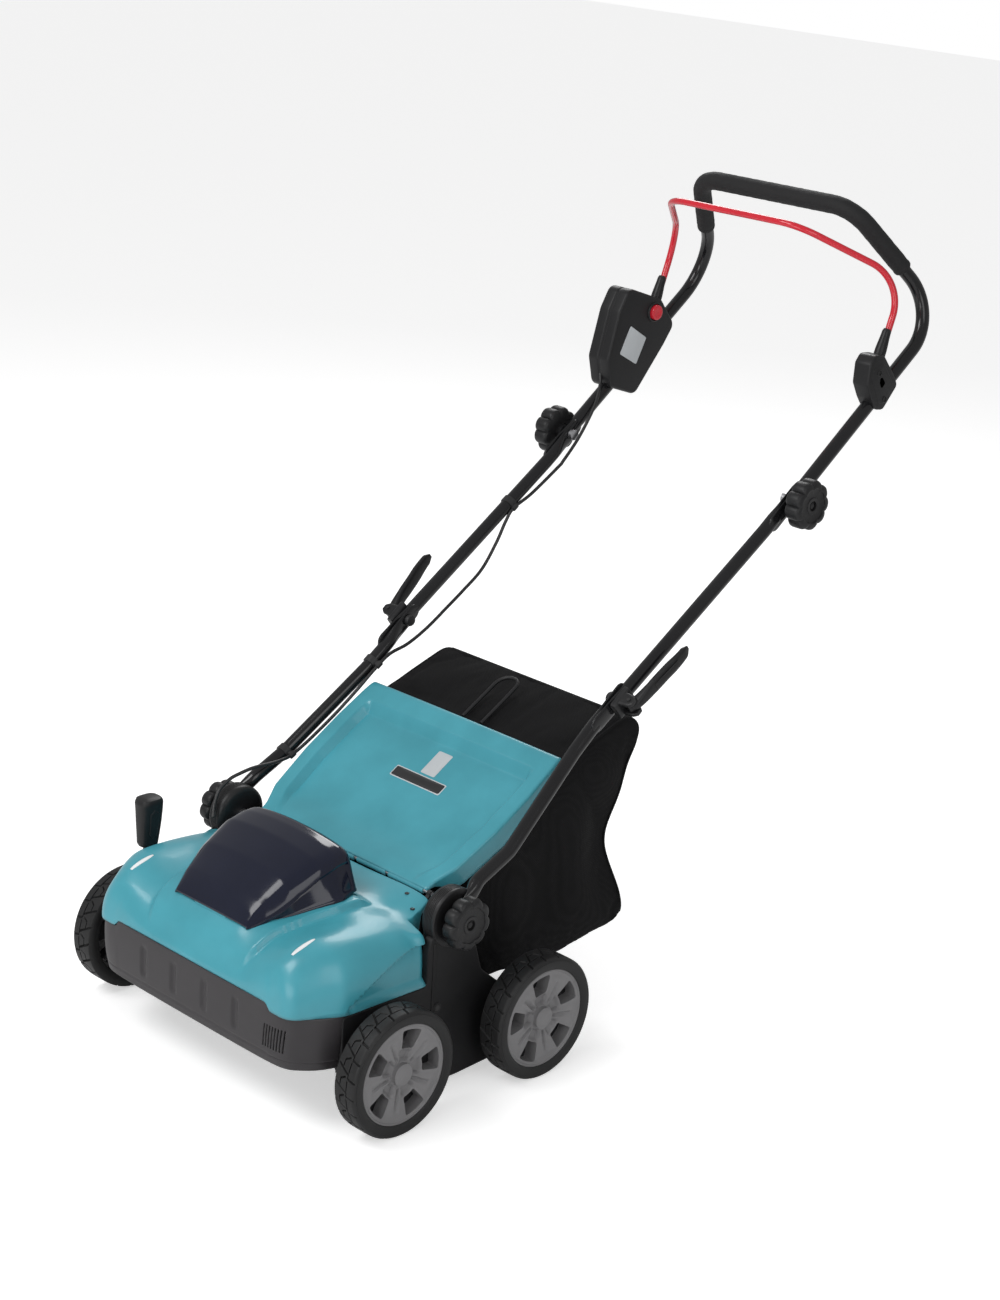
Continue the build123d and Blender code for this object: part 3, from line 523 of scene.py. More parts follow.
# The hood is drawn along bearings from its centre: its outer rim and the rim of the battery bay.
hood_angles = np.linspace(-math.pi, math.pi, 560, endpoint=False)
hood_reach = polar_outline(hood_plan, hood_corners, hood_centre, hood_angles)
bay_reach = polar_outline(bay_plan, 8, hood_centre, hood_angles)
hood_dir = np.stack([np.cos(hood_angles), np.sin(hood_angles)], 1)
hood_rim = hood_centre + hood_dir * hood_reach[:, None]
bay_rim = hood_centre + hood_dir * bay_reach[:, None]

rim_x, rim_y = hood_rim[:, 0], hood_rim[:, 1]
front_share = smooth(-165, -232, rim_y)
rear_share = smooth(-22, -8, rim_y)
# How far in from the edge the shoulder reaches, and the height of the lower edge
shoulder = 40 - 4 * front_share - 36 * smooth(-50, -24, rim_y)
notch = smooth(162, 150, np.abs(rim_x)) * smooth(-225, -236, rim_y)
lower_edge = hood_floor + 0.3 + 9.5 * notch + 78 * rear_share

rings = []
hood_shape = Shape()
power = 2.9 - 0.5 * front_share
brow = hood_centre + hood_dir * (hood_reach - shoulder)[:, None]
for t in np.linspace(0, math.pi / 2, 34):
    inset = shoulder * (1 - math.cos(t) ** (2 / power))
    rise = math.sin(t) ** (2 / power)
    at = hood_centre + hood_dir * (hood_reach - inset)[:, None]
    top = hood_top(at[:, 0], at[:, 1])
    z = lower_edge + (top - lower_edge) * rise
    # A scooped facet on each side, under a curved crease
    along = np.clip((at[:, 1] + 182) / 152, 0, 1)
    crease = 160 + 54 * np.sin(along * math.pi / 2) ** 1.15
    scoop = 8.5 * smooth(crease + 1.2, crease - 2.2, z) * smooth(hood_floor, hood_floor + 9, z)
    scoop *= smooth(-182, -172, at[:, 1]) * smooth(-28, -33, at[:, 1]) * (np.abs(at[:, 0]) > 195)
    at = at - np.stack([np.sign(at[:, 0]) * scoop, np.zeros(len(at))], 1)
    rings.append(np.column_stack([at, z]))
for share in np.linspace(0, 1, 40)[1:]:
    at = brow + (bay_rim - brow) * share
    rings.append(np.column_stack([at, hood_top(at[:, 0], at[:, 1])]))
# The bay's rounded lip and the wall down into the bay
for inset, drop in ((1.2, 0.5), (2.2, 1.8), (2.6, 4), (3, 20), (3, 40)):
    at = bay_rim - hood_dir * inset
    rings.append(np.column_stack([at, hood_top(bay_rim[:, 0], bay_rim[:, 1]) - drop]))
hood_shape.grid(np.array(rings), wrap_cols=True)
hood = hood_shape.piece("hood_shell", TEAL, "chassis", "teal_shell", sharp=50, replaces=["top_hood"])
thicken(hood, 3.0)

# Two short painted marks on the shoulders
for side, hand in HANDS:
    mark = Shape()
    rows = []
    for k, y in enumerate(np.linspace(-210, -173, 14)):
        half = 3.6 * math.sin(math.pi * (0.12 + 0.82 * k / 13)) ** 0.6
        xs = side * 165 + np.linspace(-half, half, 5)
        rows.append(np.column_stack([xs, np.full(5, y), hood_top(xs, np.full(5, y)) + 0.35]))
    mark.grid(rows)
    obj = mark.piece(f"shoulder_mark_{hand}", PAINT, "chassis", "teal_shell")
    thicken(obj, 0.5)


# Screws in the hood's rear strip and beside the flap

screw_shape = Shape()
for x, y in ((-150, -2), (0, -2), (150, -2), (176, -16), (-176, -16)):
    z = float(hood_top(x, y))
    angle = np.linspace(0, 2 * math.pi, 20, endpoint=False)
    head = [np.column_stack([x + r * np.cos(angle), y + r * np.sin(angle), np.full(20, z + h)])
            for r, h in ((3.2, -0.6), (3.2, 0.5), (2.6, 0.9), (1.2, 0.9), (1.0, 0.2))]
    screw_shape.loft(head)
screw_shape.piece("hood_screw_heads", BLACK, "chassis", "black_plastic")


# Chute flap

flap_tilt = math.radians(32.2)
flap_u = np.array([0, math.cos(flap_tilt), math.sin(flap_tilt)])
flap_n = np.array([0, -math.sin(flap_tilt), math.cos(flap_tilt)])
flap_length = 262.0


def on_flap(x, s, h):
    """A point at x, s up the flap from its hinge and h above it."""
    x, s, h = np.broadcast_arrays(np.asarray(x, float), np.asarray(s, float), np.asarray(h, float))
    return (flap_pivot + s[..., None] * flap_u + h[..., None] * flap_n
            + x[..., None] * np.array([1.0, 0, 0]))


def flap_half(s):
    return np.interp(s, [0, 16, 30, 46, 118, 190, 240, 262], [169, 171, 177, 184, 191.5, 192, 189.5, 187])


def flap_height(x, s):
    """The moulded top: a broad raised border round a shallow panel, with a slight crown."""
    half = flap_half(s)
    inside_side = half - 24 - np.abs(x)
    inside_top = 222 - s
    panel = np.clip(inside_side / 9, 0, 1) * np.clip((inside_top + 8) / 17, 0, 1)
    depth = 12.0 * smooth(-10, 70, s)
    crown_rise = 1.6 * (1 - (x / 190) ** 2)
    return 5.0 + crown_rise - depth * panel


flap_shape = Shape()
rows = []
flap_stations = [np.linspace(0, 200, 60), np.linspace(202, 250, 30), np.linspace(251, flap_length, 8)]
for s in np.concatenate(flap_stations):
    half = float(flap_half(s))
    end_drop = 3.5 * (1 - math.sqrt(max(0.0, 1 - ((s - 250) / 12) ** 2))) if s > 250 else 0.0
    skirt = 3 + 24 * float(smooth(6, 40, s)) - 15 * float(smooth(238, 262, s))
    cols, heights = [], []
    for depth_share in np.linspace(1, 0, 7)[:-1]:
        cols.append(half - 1.2 * depth_share)
        heights.append(2 - skirt * depth_share)
    for t in np.linspace(0, math.pi / 2, 6):
        cols.append(half - 4 * (1 - math.cos(t)))
        heights.append(float(flap_height(half - 4, s)) - 4 * (1 - math.sin(t)))
    inner = np.concatenate([half - 4 - np.linspace(1, 36, 26), np.linspace(half - 42, 4, 26)])
    cols += list(inner)
    heights += list(flap_height(inner, s))
    cols, heights = np.array(cols), np.array(heights) - end_drop
    xs = np.concatenate([cols, -cols[::-1]])
    hs = np.concatenate([heights, heights[::-1]])
    rows.append(on_flap(xs, s, hs))
rows.append(rows[-1] - flap_n * 5)
flap_shape.grid(np.array(rows))
flap = flap_shape.piece("flap_shell", TEAL, "chute_flap", "teal_shell", sharp=50, replaces=["chute_flap"])
thicken(flap, 2.6, 1.0)

barrel = Shape()
for x_low, x_high in ((-163, -96), (-90, -34), (-28, 28), (34, 90), (96, 163)):
    outline = [(x_low, 3.4), (x_low + 0.8, 4.3), (x_high - 0.8, 4.3), (x_high, 3.4)]
    barrel.turned(outline, flap_pivot[1], flap_pivot[2], 28)
barrel.piece("flap_hinge_barrels", TEAL, "chute_flap", "teal_shell")


def flap_label(name, x, s, width, height, material, lift):
    """A thin blank label laid on the flap."""
    shape = Shape()
    ring = rounded([(a * width / 2, b * height / 2) for a, b in ((-1, -1), (1, -1), (1, 1), (-1, 1))], 2.0, 0.8)
    rings = []
    for share, h in ((0.02, 0.45), (0.97, 0.45), (1.0, 0.25), (1.0, -0.2)):
        px = x + ring[:, 0] * share
        ps = s + ring[:, 1] * share
        rings.append(on_flap(px, ps, flap_height(px, ps) + h + lift))
    shape.loft(rings[::-1])
    return shape.piece(name, material, "chute_flap", "teal_shell")


flap_label("flap_label_blank", 14, 182, 27, 42, LABEL, 0.1)
flap_label("flap_strip_blank", 8, 148, 98, 19, LABEL, 0.1)
flap_label("flap_strip_inset", 8, 148, 95, 16, LABEL_DARK, 0.35)


# Battery cover

# The cover's profile at mid width, from its front edge over the top and down its back
spine = [(-207, 231.5), (-203, 238), (-196, 247), (-185, 258.5), (-150, 284.5), (-107, 304.5), (-80, 310.5),
         (-66, 311.5), (-60, 309), (-57.5, 303), (-56, 285), (-55, 262)]
cover_shape = Shape()
rows = []
for y, z in spaced(spine, 90):
    ridge_x = np.interp(y, [-207, -196, -185, -107, -62], [69, 70, 73, 83.5, 84])
    edge_x = np.interp(y, [-207, -190, -150, -100, -86, -60, -55], [71, 79, 98, 117.5, 120.5, 112, 108])
    edge_z = np.interp(y, [-207, -150, -86, -55], [230.5, 241, 253, 256])
    z = max(z, edge_z + 1.0)
    arch = np.interp(y, [-207, -190, -170, -140, -110, -80], [0.02, 0.06, 0.26, 0.52, 0.66, 0.72])
    height = z - edge_z
    ridge = np.array([ridge_x, z - min(3.0, 0.1 * height)])
    edge = np.array([edge_x, edge_z])
    arch_point = edge + (ridge - edge) * arch + np.array([5.0, 2.0]) * min(1, height / 40)
    panel_depth = 2.6 * float(smooth(6, 26, height)) * (1 - float(smooth(-66, -56, y)))
    cols = []
    for t in np.linspace(0, 1, 14):
        sunk = panel_depth * float(smooth(0, 0.12, t) * smooth(1.0, 0.9, t))
        cols.append(edge + (arch_point - edge) * t - np.array([sunk, 0]))
    for t in np.linspace(0, 1, 9)[1:]:
        blend = arch_point + (ridge - arch_point) * t
        bulge = 2.2 * math.sin(math.pi * t) * min(1, height / 40)
        cols.append(blend + np.array([bulge, bulge * 0.6]))
    for t in np.linspace(0, 1, 18)[1:]:
        x = ridge_x * (1 - t)
        lift = min(4.5, 0.25 * height)
        cols.append(np.array([x, ridge[1] + (z + lift - ridge[1]) * (1 - (x / ridge_x) ** 2) ** 0.8]))
    half = np.array(cols)
    full = np.vstack([half, (half * [-1, 1])[::-1][1:]])
    rows.append(np.column_stack([full[:, 0], np.full(len(full), y), full[:, 1]]))
cover_shape.grid(np.array(rows))
cover = cover_shape.piece("cover_shell", COVER, "battery_cover", "cover", sharp=32, replaces=["battery_cover"])
thicken(cover, 2.4)
hinge = Shape()
hinge.turned([(-80, 3), (-79, 4), (79, 4), (80, 3)], cover_pivot[1], cover_pivot[2], 24)
hinge.turned([(-86, 2), (86, 2)], cover_pivot[1], cover_pivot[2], 16)
hinge.pillow([(-58, 256), (-58, 263), (-47, 261), (-47, 253)], -80, 80, 1.0, 1.5)
hinge.piece("cover_hinge_leaf", COVER, "battery_cover", "cover")


# Front bumper: a wrapped fascia with shallow dents and slanted vents

bumper_floor = box("front_bumper")[0][2]
dent_depth = 2.6
corner_plan = [(225.5, -170), (225, -182), (217, -203), (203, -222), (188, -234.5), (165, -240),
               (120, -241.8), (60, -242.3), (0, -242.4)]
half_plan = curve_through(corner_plan, 150)
plan = np.vstack([half_plan, (half_plan * [-1, 1])[::-1][1:]])
ahead = np.gradient(plan, axis=0)
ahead /= np.linalg.norm(ahead, axis=1)[:, None]
inward = np.stack([ahead[:, 1], -ahead[:, 0]], 1)
inward *= np.sign(((np.array([0, -100.0]) - plan) * inward).sum(1))[:, None]
raised = smooth(160, 150, np.abs(plan[:, 0])) * smooth(-225, -236, plan[:, 1])
bumper_top = hood_floor - 0.2 + 9.5 * raised
rows = []
for share in np.linspace(0, 1, 40):
    z = bumper_floor + (bumper_top - bumper_floor) * share
    tuck = 7.0 * (1 - share) ** 3 + 1.2 * share ** 6
    dent = np.zeros(len(plan))
    for dent_x in (-95, -32, 31, 94):
        dent += dent_depth * smooth(7.5, 2.0, np.abs(plan[:, 0] - dent_x - 4 * (share - 0.5)))
    dent *= smooth(0.26, 0.36, share) * smooth(0.86, 0.74, share)
    line = 0.9 * smooth(0.022, 0.008, abs(share - 0.16))
    at = plan + inward * (tuck + dent + line)[:, None]
    rows.append(np.column_stack([at, z]))
bumper_shape = Shape()
bumper_shape.grid(np.array(rows), flip=True)
bumper = bumper_shape.piece("bumper_fascia", BUMPER, "chassis", "bumper", sharp=45, replaces=["front_bumper"])
thicken(bumper, 3.5)
vent_shape = Shape()
for k in range(8):
    ring = rounded([(-1.35, -17), (1.35, -17), (1.35, 17), (-1.35, 17)], 1.3, 0.5)
    xs = 150 + 4.8 * k + ring[:, 0] + ring[:, 1] * math.tan(math.radians(8))
    rings = [np.column_stack([xs, np.full(len(ring), y), 123 + ring[:, 1]]) for y in (-250, -226)]
    vent_shape.loft(rings)
vent_cutter = vent_shape.piece("vent_cutter", BLACK, None, "bumper")
cutter_mesh = bmesh.new()
cutter_mesh.from_mesh(vent_cutter.data)
bmesh.ops.recalc_face_normals(cutter_mesh, faces=cutter_mesh.faces)
cutter_mesh.to_mesh(vent_cutter.data)
cutter_mesh.free()
cut = bumper.modifiers.new("vents", "BOOLEAN")
cut.operation = "DIFFERENCE"
cut.solver = "EXACT"
cut.object = vent_cutter
bpy.context.view_layer.update()
apply_modifiers(bumper)
bpy.data.objects.remove(vent_cutter)


# Side panels of the deck

deck_side = box("deck_housing")[1][0]
side_outline = [(-176, 78), (-176, 156), (-33, 156), (-33, 200), (-28, 222), (44, 222), (52, 196), (66, 152),
                (112, 114), (142, 105), (143, 64), (106, 21), (96, 15), (30, 10.6), (-10, 10.6), (-50, 16.6),
                (-100, 36.6)]
side_corners = [6, 6, 4, 5, 8, 10, 16, 20, 20, 8, 10, 8, 6, 6, 8, 10, 10]
for side, hand in HANDS:
    panel = Shape()
    panel.pillow(side_outline, 213.5, deck_side + 1.2, 2.2, side_corners)
    panel.pillow([(-24, 26), (-24, 214), (-19, 214), (-19, 26)], 224, deck_side + 2.6, 1.0, 1.5)
    panel.pillow([(-150, 84), (-150, 140), (-60, 140), (-60, 60), (-110, 60)], 224, deck_side + 2.0, 1.6, 8)
    panel.turned([(224, 7), (deck_side + 2.4, 7), (deck_side + 2.9, 6.3), (deck_side + 2.4, 4.6), (224.5, 4.2),
                  (224, 0.1)], -13, 120, 32)
    panel.piece(f"deck_side_{hand}", DECK, "chassis", "deck", flip_x=side < 0)
    hole = Shape()
    hole.turned([(226, 4.3), (deck_side + 2.5, 4.3)], -13, 120, 24)
    hole.piece(f"side_hole_{hand}", BELT, "chassis", "deck", flip_x=side < 0)


# Tyres and rims

tyre_low, tyre_high = box("tyre_front_left")
tyre_r = (tyre_high[2] - tyre_low[2]) / 2
inner_x, outer_x = tyre_low[0], tyre_high[0]
rim_r = 69.0
tread_count = 22
tread_depth = 2.6


def tread(theta, u):
    """How deep the tread is cut at an angle and at a share of the width, in millimetres."""
    pitch = 2 * math.pi / tread_count

    def cut_at(phase, width):
        offset = (phase + 0.5) % 1.0 - 0.5
        return smooth(width, width * 0.45, np.abs(offset) * pitch * tyre_r)

    p = theta / pitch
    shoulder_lug = cut_at(p - 0.35 * (u - 0.8), 1.7) * smooth(0.60, 0.62, u)
    slant = cut_at(p - 0.5 - 0.9 * (u - 0.35), 1.7) * smooth(0.06, 0.09, u) * smooth(0.62, 0.60, u)
    short = cut_at(p - 0.02 + 0.9 * (u - 0.35), 1.4) * smooth(0.30, 0.32, u) * smooth(0.52, 0.50, u)
    step = smooth(0.020, 0.012, abs(u - 0.32)) * smooth(0.46, 0.40, np.abs((p - 0.26 + 0.5) % 1.0 - 0.5) * 2)
    ring = smooth(0.022, 0.012, abs(u - 0.61)) * smooth(0.12, 0.2, np.abs((p + 0.5) % 1.0 - 0.5) * 2)
    return tread_depth * np.clip(np.maximum.reduce([shoulder_lug, slant, short, step, ring]), 0, 1)


# The tyre's section runs from the inner bead over the tread to the outer bead.
section = [(inner_x + 3, rim_r - 1), (inner_x + 0.6, rim_r + 2), (inner_x, rim_r + 8),
           (inner_x + 0.5, tyre_r - 4.5), (inner_x + 2.2, tyre_r - 1.6)]
tread_stretches = ((0.08, 0.30, 9), (0.305, 0.335, 5), (0.35, 0.59, 10), (0.597, 0.625, 5), (0.64, 0.90, 9))
for u in np.concatenate([np.linspace(*stretch) for stretch in tread_stretches]):
    section.append((inner_x + u * (outer_x - inner_x), tyre_r - 0.9 * (2 * u - 1) ** 4))
section += [(outer_x - 2.2, tyre_r - 1.6), (outer_x - 0.7, tyre_r - 3.6), (outer_x - 0.9, tyre_r - 4.2),
            (outer_x - 0.2, tyre_r - 4.9), (outer_x, tyre_r - 8), (outer_x - 0.3, rim_r + 4),
            (outer_x - 1.2, rim_r + 1), (outer_x - 3, rim_r - 0.6), (outer_x - 9, rim_r - 1)]
tyre_sides = 924
theta = np.linspace(0, 2 * math.pi, tyre_sides, endpoint=False)
rings = []
for x, r in section:
    u = (x - inner_x) / (outer_x - inner_x)
    in_tread = 0.0 < u < 0.93 and r > tyre_r - 2.5
    radius = r - (tread(theta, u) if in_tread else 0)
    rings.append(np.column_stack([np.full(tyre_sides, x), radius * np.cos(theta), radius * np.sin(theta)]))
tyre_rings = np.array(rings)

window_inner, window_outer, window_depth = 35.0, 61.5, 19.0
sector = 2 * math.pi / 5
spoke_t = np.concatenate([[0.0, 0.02, 0.05], np.linspace(0.1, 0.8, 9), [0.88, 0.93, 0.97]])
# Radii are closer together at the hub, at the windows' ends and at the lip.
radii = np.concatenate([[0.5, 6, 11, 13, 14.2, 14.9, 15.0, 15.6, 17], np.linspace(19, 34, 10),
                        [34.7, 35.0, 35.15, 35.7, 36.6], np.linspace(38, 58.5, 11),
                        [59.9, 60.8, 61.35, 61.5, 61.9], np.linspace(62.6, 65, 3),
                        [65.6, 66.2, 67.2, 68.3, 68.9]])
rim_face = outer_x - 3.2


def window_angle(r):
    """Half the angle of a window at a radius, with its corners rounded."""
    half = np.interp(r, [window_inner, window_outer], [9.6, 17.0])
    corner = 3.0
    near = min(r - window_inner, window_outer - r)
    if near < corner:
        half -= corner - math.sqrt(max(0.0, corner ** 2 - (corner - max(near, 0)) ** 2))
    return half / r


rows = []
for r in radii:
    angles, drop = [], []
    a = window_angle(min(max(r, window_inner), window_outer))
    for k in range(5):
        middle = k * sector
        for share in (-0.985, -0.96, -0.85, -0.65, -0.4, -0.2, 0, 0.2, 0.4, 0.65, 0.85, 0.96, 0.985):
            open_here = window_inner < r < window_outer and abs(share) < 0.97
            angles.append(middle + a * share)
            drop.append(-window_depth if open_here else 0.0)
        for share in spoke_t[1:]:
            angles.append(middle + a + (sector - 2 * a) * share)
            drop.append(0.0)
    angles = np.array(angles)
    # The angle from the middle of a spoke
    phase = np.abs((angles / sector) % 1.0 - 0.5) * sector
    face = -1.0 - 4.5 * (1 - smooth(15, 62, r))
    hub = (7.0 - 1.2 * smooth(11, 14.9, r)) * smooth(15.05, 14.9, r)
    line = -3.6 * smooth(2.2, 0.7, phase * r) * smooth(19, 23, r) * smooth(55, 50, r)
    flare = -5.0 * smooth(0.24, 0.36, phase) * smooth(16, 21, r) * smooth(35, 29, r)
    rib = 1.4 * smooth(0.30, 0.16, phase) * smooth(16, 26, r) * smooth(62, 54, r)
    lip = 1.6 * smooth(64.6, 66.2, r) - 2.0 * smooth(68.0, 68.9, r)
    x = rim_face + face + hub + line + flare + rib + lip + drop
    rows.append(np.column_stack([x, r * np.cos(angles), r * np.sin(angles)]))
rim_rows = np.array(rows)
barrel_rows = [(rim_face - 3, 68.9), (rim_face - 4, 66.5), (rim_face - 24, 66.5), (rim_face - 24, 63),
               (rim_face - 8, 62)]

# How far each wheel is turned, in radians
turns = {"front_left": 0.10, "front_right": 0.5, "rear_left": 0.47, "rear_right": 0.9}
for wheel, turn in turns.items():
    centre_low, centre_high = box(f"tyre_{wheel}")
    y, z = (centre_low[1] + centre_high[1]) / 2, (centre_low[2] + centre_high[2]) / 2
    c, s = math.cos(turn), math.sin(turn)

    def placed(points):
        moved = points.copy()
        moved[..., 1] = y + points[..., 1] * c - points[..., 2] * s
        moved[..., 2] = z + points[..., 1] * s + points[..., 2] * c
        return moved

    tyre = Shape()
    tyre.grid(placed(tyre_rings), wrap_cols=True)
    on_right = "right" in wheel
    tyre.piece(f"tyre_tread_{wheel}", TYRE, f"wheel_{wheel}", "tyre", 35, [f"tyre_{wheel}"], on_right)
    rim = Shape()
    first = rim.grid(placed(rim_rows), wrap_cols=True)
    rim.cap(first, rim_rows.shape[1], True)
    rim.turned(barrel_rows, y, z, 120, ends=False)
    rim.turned([(inner_x + 4, 13), (inner_x + 4.5, 14), (rim_face - 10, 14), (rim_face - 9, 8)], y, z, 40)
    for k in range(5):
        a = turn + (k + 0.5) * sector
        back_rib = [(inner_x + 12, y + r * math.cos(a), z + r * math.sin(a)) for r in (12, 66)]
        rim.sweep(back_rib, 10.0, 2.2, sides=12, power=6)
    rim_node = f"rim_{wheel}"
    rim_obj = rim.piece(f"rim_face_{wheel}", [RIM, DECK], f"wheel_{wheel}", "rim", 30, [rim_node], on_right)
    # The floors of the windows are dark.
    recolour(rim_obj, lambda p: abs(p[0]) < rim_face - 15 and math.hypot(p[1] - y, p[2] - z) < 62, 1)


# Star knobs and handle bosses

# The knob's face from its rim to the bolt in its middle: (back from the face, smaller than the radius)
knob_rim = [(6, 0), (3, 1), (1.1, 3), (0.2, 6.4), (0, 9), (0, 10.5), (0.4, 11.2), (1.6, 11.6), (2.0, 12.4)]
# (back from the face, radius)
knob_middle = [(2.0, 12.5), (1.2, 12), (1.2, 8), (1.6, 7.2), (5, 6.8), (5, 4.4), (3.2, 4.0), (2.8, 2.8),
               (2.8, 0.3)]


def star_knob(node, side, y, z, turn):
    low, high = box(node)
    x_in, x_out = (low[0], high[0]) if side > 0 else (-high[0], -low[0])
    radius = (high[2] - low[2]) / 2
    x_in_face = x_out - (21 if "base" in node else 26)

    def star(angle, x, r):
        depth = 5.6 * smooth(0.5, 1.0, r / radius)
        wave = np.abs(np.cos(4.5 * (angle + turn))) ** 0.55
        return r - depth * (1 - wave)

    profile = [(x_in, 11.5), (x_in_face, 11.5), (x_in_face, radius - 6), (x_in_face + 1, radius - 2.6),
               (x_in_face + 3.2, radius - 0.6), (x_in_face + 6, radius)]
    profile += [(x_out - back, radius - less) for back, less in knob_rim]
    profile += [(x_out - back, r) for back, r in knob_middle]
    shape = Shape()
    shape.turned(profile, y, z, 160, radius_at=star)
    shape.piece(f"{node}_star", BLACK, node, "black_plastic", 40, [node], side < 0)


for side, hand in HANDS:
    star_knob(f"base_knob_{hand}", side, base_pivot[1], base_pivot[2], 0.2)
    star_knob(f"upper_knob_{hand}", side, top_pivot[1], top_pivot[2], 0.05)
    boss = Shape()
    rim_profile = [(203, 20), (203.2, 33), (204.4, 37.2), (207, 39.6), (210, 40.4)]
    for k in range(5):
        x = 212 + 2.6 * k
        rim_profile += [(x, 40.5), (x + 0.5, 39.8), (x + 1.0, 39.8), (x + 1.5, 40.5)]
    rim_profile += [(226.6, 40.2), (228, 38.6), (228, 33), (226.6, 32.4), (226.6, 14), (229, 13.4), (229, 5.4),
                    (205, 5.2)]
    boss.turned(rim_profile, base_pivot[1], base_pivot[2], 96)
    boss.pillow([(-20, 172), (36, 172), (38, 228), (-22, 228)], 203.2, 213, 1.2, 3)
    boss.piece(f"boss_{hand}_ribbed", BLACK, "chassis", "black_plastic", 32, [f"handle_boss_{hand}"], side < 0)


# Handle tubes: round along their length and pressed flat at the bolted ends

# Half sizes of a tube where it is round, and where it is pressed flat
tube_r = 9.75
flat_thick, flat_wide = 2.9, 12.2


def from_pivot(x, pivot_point, angle, distance):
    """A point at x and a distance from a pivot, in the direction of the angle in degrees above +Y."""
    a = math.radians(angle)
    return (x, pivot_point[1] + distance * math.cos(a), pivot_point[2] + distance * math.sin(a))


def tube_piece(name, body, path, flat_start, flat_end, replaces, flip_x=False):
    """A round tube pressed flat over the given lengths at its ends, which are rounded off."""
    path = np.asarray(path, float)
    length = np.concatenate([[0], np.cumsum(np.linalg.norm(np.diff(path, axis=0), axis=1))])
    flat, end_round = np.zeros(len(path)), np.ones(len(path))
    for flat_length, reach in ((flat_start, length), (flat_end, length[-1] - length)):
        flat = np.maximum(flat, 1 - smooth(flat_length, flat_length + 34, reach))
        end_round *= np.sqrt(np.clip(1 - ((12 - reach) / 12.5).clip(0, 1) ** 2, 0.02, 1))
    shape = Shape()
    half_y = tube_r + (flat_wide - tube_r) * flat
    shape.sweep(path, tube_r + (flat_thick - tube_r) * flat, half_y * end_round, sides=28)
    shape.piece(name, TUBE, body, "tube_black", replaces=[replaces], flip_x=flip_x)


base_lean, middle_lean, top_lean = 49, 35, 37.6
lower_path = bent([from_pivot(232.3, base_pivot, base_lean, -13.5), from_pivot(231, base_pivot, base_lean, 30),
                   (224.8, 50, 281), (225, 106, 308), (206.5, 238, 411), (205.3, 266, 433),
                   from_pivot(205.3, cam_pivot, 39, 25.5)], [20, 40, 60, 60, 30], 3.0)
middle_path = spaced([from_pivot(211.7, cam_pivot, middle_lean, -57),
                      from_pivot(211.9, cam_pivot, middle_lean, 30),
                      from_pivot(213.2, top_pivot, top_lean, -60),
                      from_pivot(213.0, top_pivot, top_lean, 25.5)], 170)
for side, hand in HANDS:
    lower, middle = f"lower_tube_{hand}", f"middle_tube_{hand}"
    tube_piece(f"{lower}_bent", "handle_lower", lower_path, 30, 40, lower, side < 0)
    tube_piece(f"{middle}_pressed", "handle_middle", middle_path, 40, 34, middle, side < 0)

upper_half = [from_pivot(219.2, top_pivot, top_lean, -57), from_pivot(218.6, top_pivot, top_lean, 40),
              (219, 938.6, 932), (142.5, 808, 1083)]
upper_path = bent(upper_half + across(upper_half), [40, 72, 52, 52, 72, 40], 3.5)
tube_piece("upper_handle_bent", "handle_upper", upper_path, 40, 40, "upper_handle")
foam_half = [(187.6, 883, 996), (142.5, 808, 1083)]
foam_path = bent(foam_half + across(foam_half), [52, 52], 2.5)
foam_length = np.concatenate([[0], np.cumsum(np.linalg.norm(np.diff(foam_path, axis=0), axis=1))])
near_end = np.minimum(foam_length, foam_length[-1] - foam_length)
foam_radius = 13.5 - 2.6 * (1 - smooth(0, 3.5, near_end)) - 0.4 * band(near_end, 10, 12, 1)
foam_radius += 0.18 * np.sin(foam_length * 0.35) * np.sin(foam_length * 0.11)
foam_shape = Shape()
foam_shape.sweep(foam_path, foam_radius, sides=36)
foam_shape.piece("foam_grip_sleeve", FOAM, "handle_upper", "foam", replaces=["foam_grip"])

bail_half = [(214, bail_pivot[1] + 2, bail_pivot[2] + 6), (214.5, 849, 990), (120, 716, 1062)]
bail_path = bent(bail_half + across(bail_half), [62, 60, 60, 62], 3.0)
bail_shape = Shape()
bail_shape.sweep(bail_path, 4.9, sides=20)
bail_shape.piece("bail_bar_bent", RED, "bail", "red_rod", replaces=["bail_bar"])
for side, hand in HANDS:
    boot = Shape()
    boot_path = spaced([(side * 214, 803, 868), (side * 214.2, 810, 888), (side * 214.4, 818, 911),
                        (side * 214.4, 822, 922)], 16)
    boot.sweep(boot_path, taper(16, [0, 0.5, 0.85, 0.93, 0.95, 1], [9, 8.4, 6.6, 6.8, 5.4, 5.0]), sides=24)
    boot.piece(f"bail_boot_{hand}", BLACK, "bail", "black_plastic")


# Pivot housing and switch box

housing = Shape()
housing_outline = [(767, 880), (766, 850), (778, 829), (791, 812), (807, 810), (836, 843), (824, 861),
                   (798, 890), (777, 892)]
housing.pillow(housing_outline, 203.5, 233, 3.2, 8, dome=1.0)
housing.pillow([(774, 874), (774, 853), (792, 822), (804, 820), (825, 844), (796, 880)], 225, 234, 1.0, 5)
for y, z in ((788, 866), (806, 826)):
    housing.turned([(229, 4.5), (234.6, 4.5), (235, 3.8), (233.6, 3.2), (233.6, 0.3)], y, z, 24)
housing.piece("pivot_housing_shell", BLACK, "handle_upper", "black_plastic", replaces=["pivot_housing"])

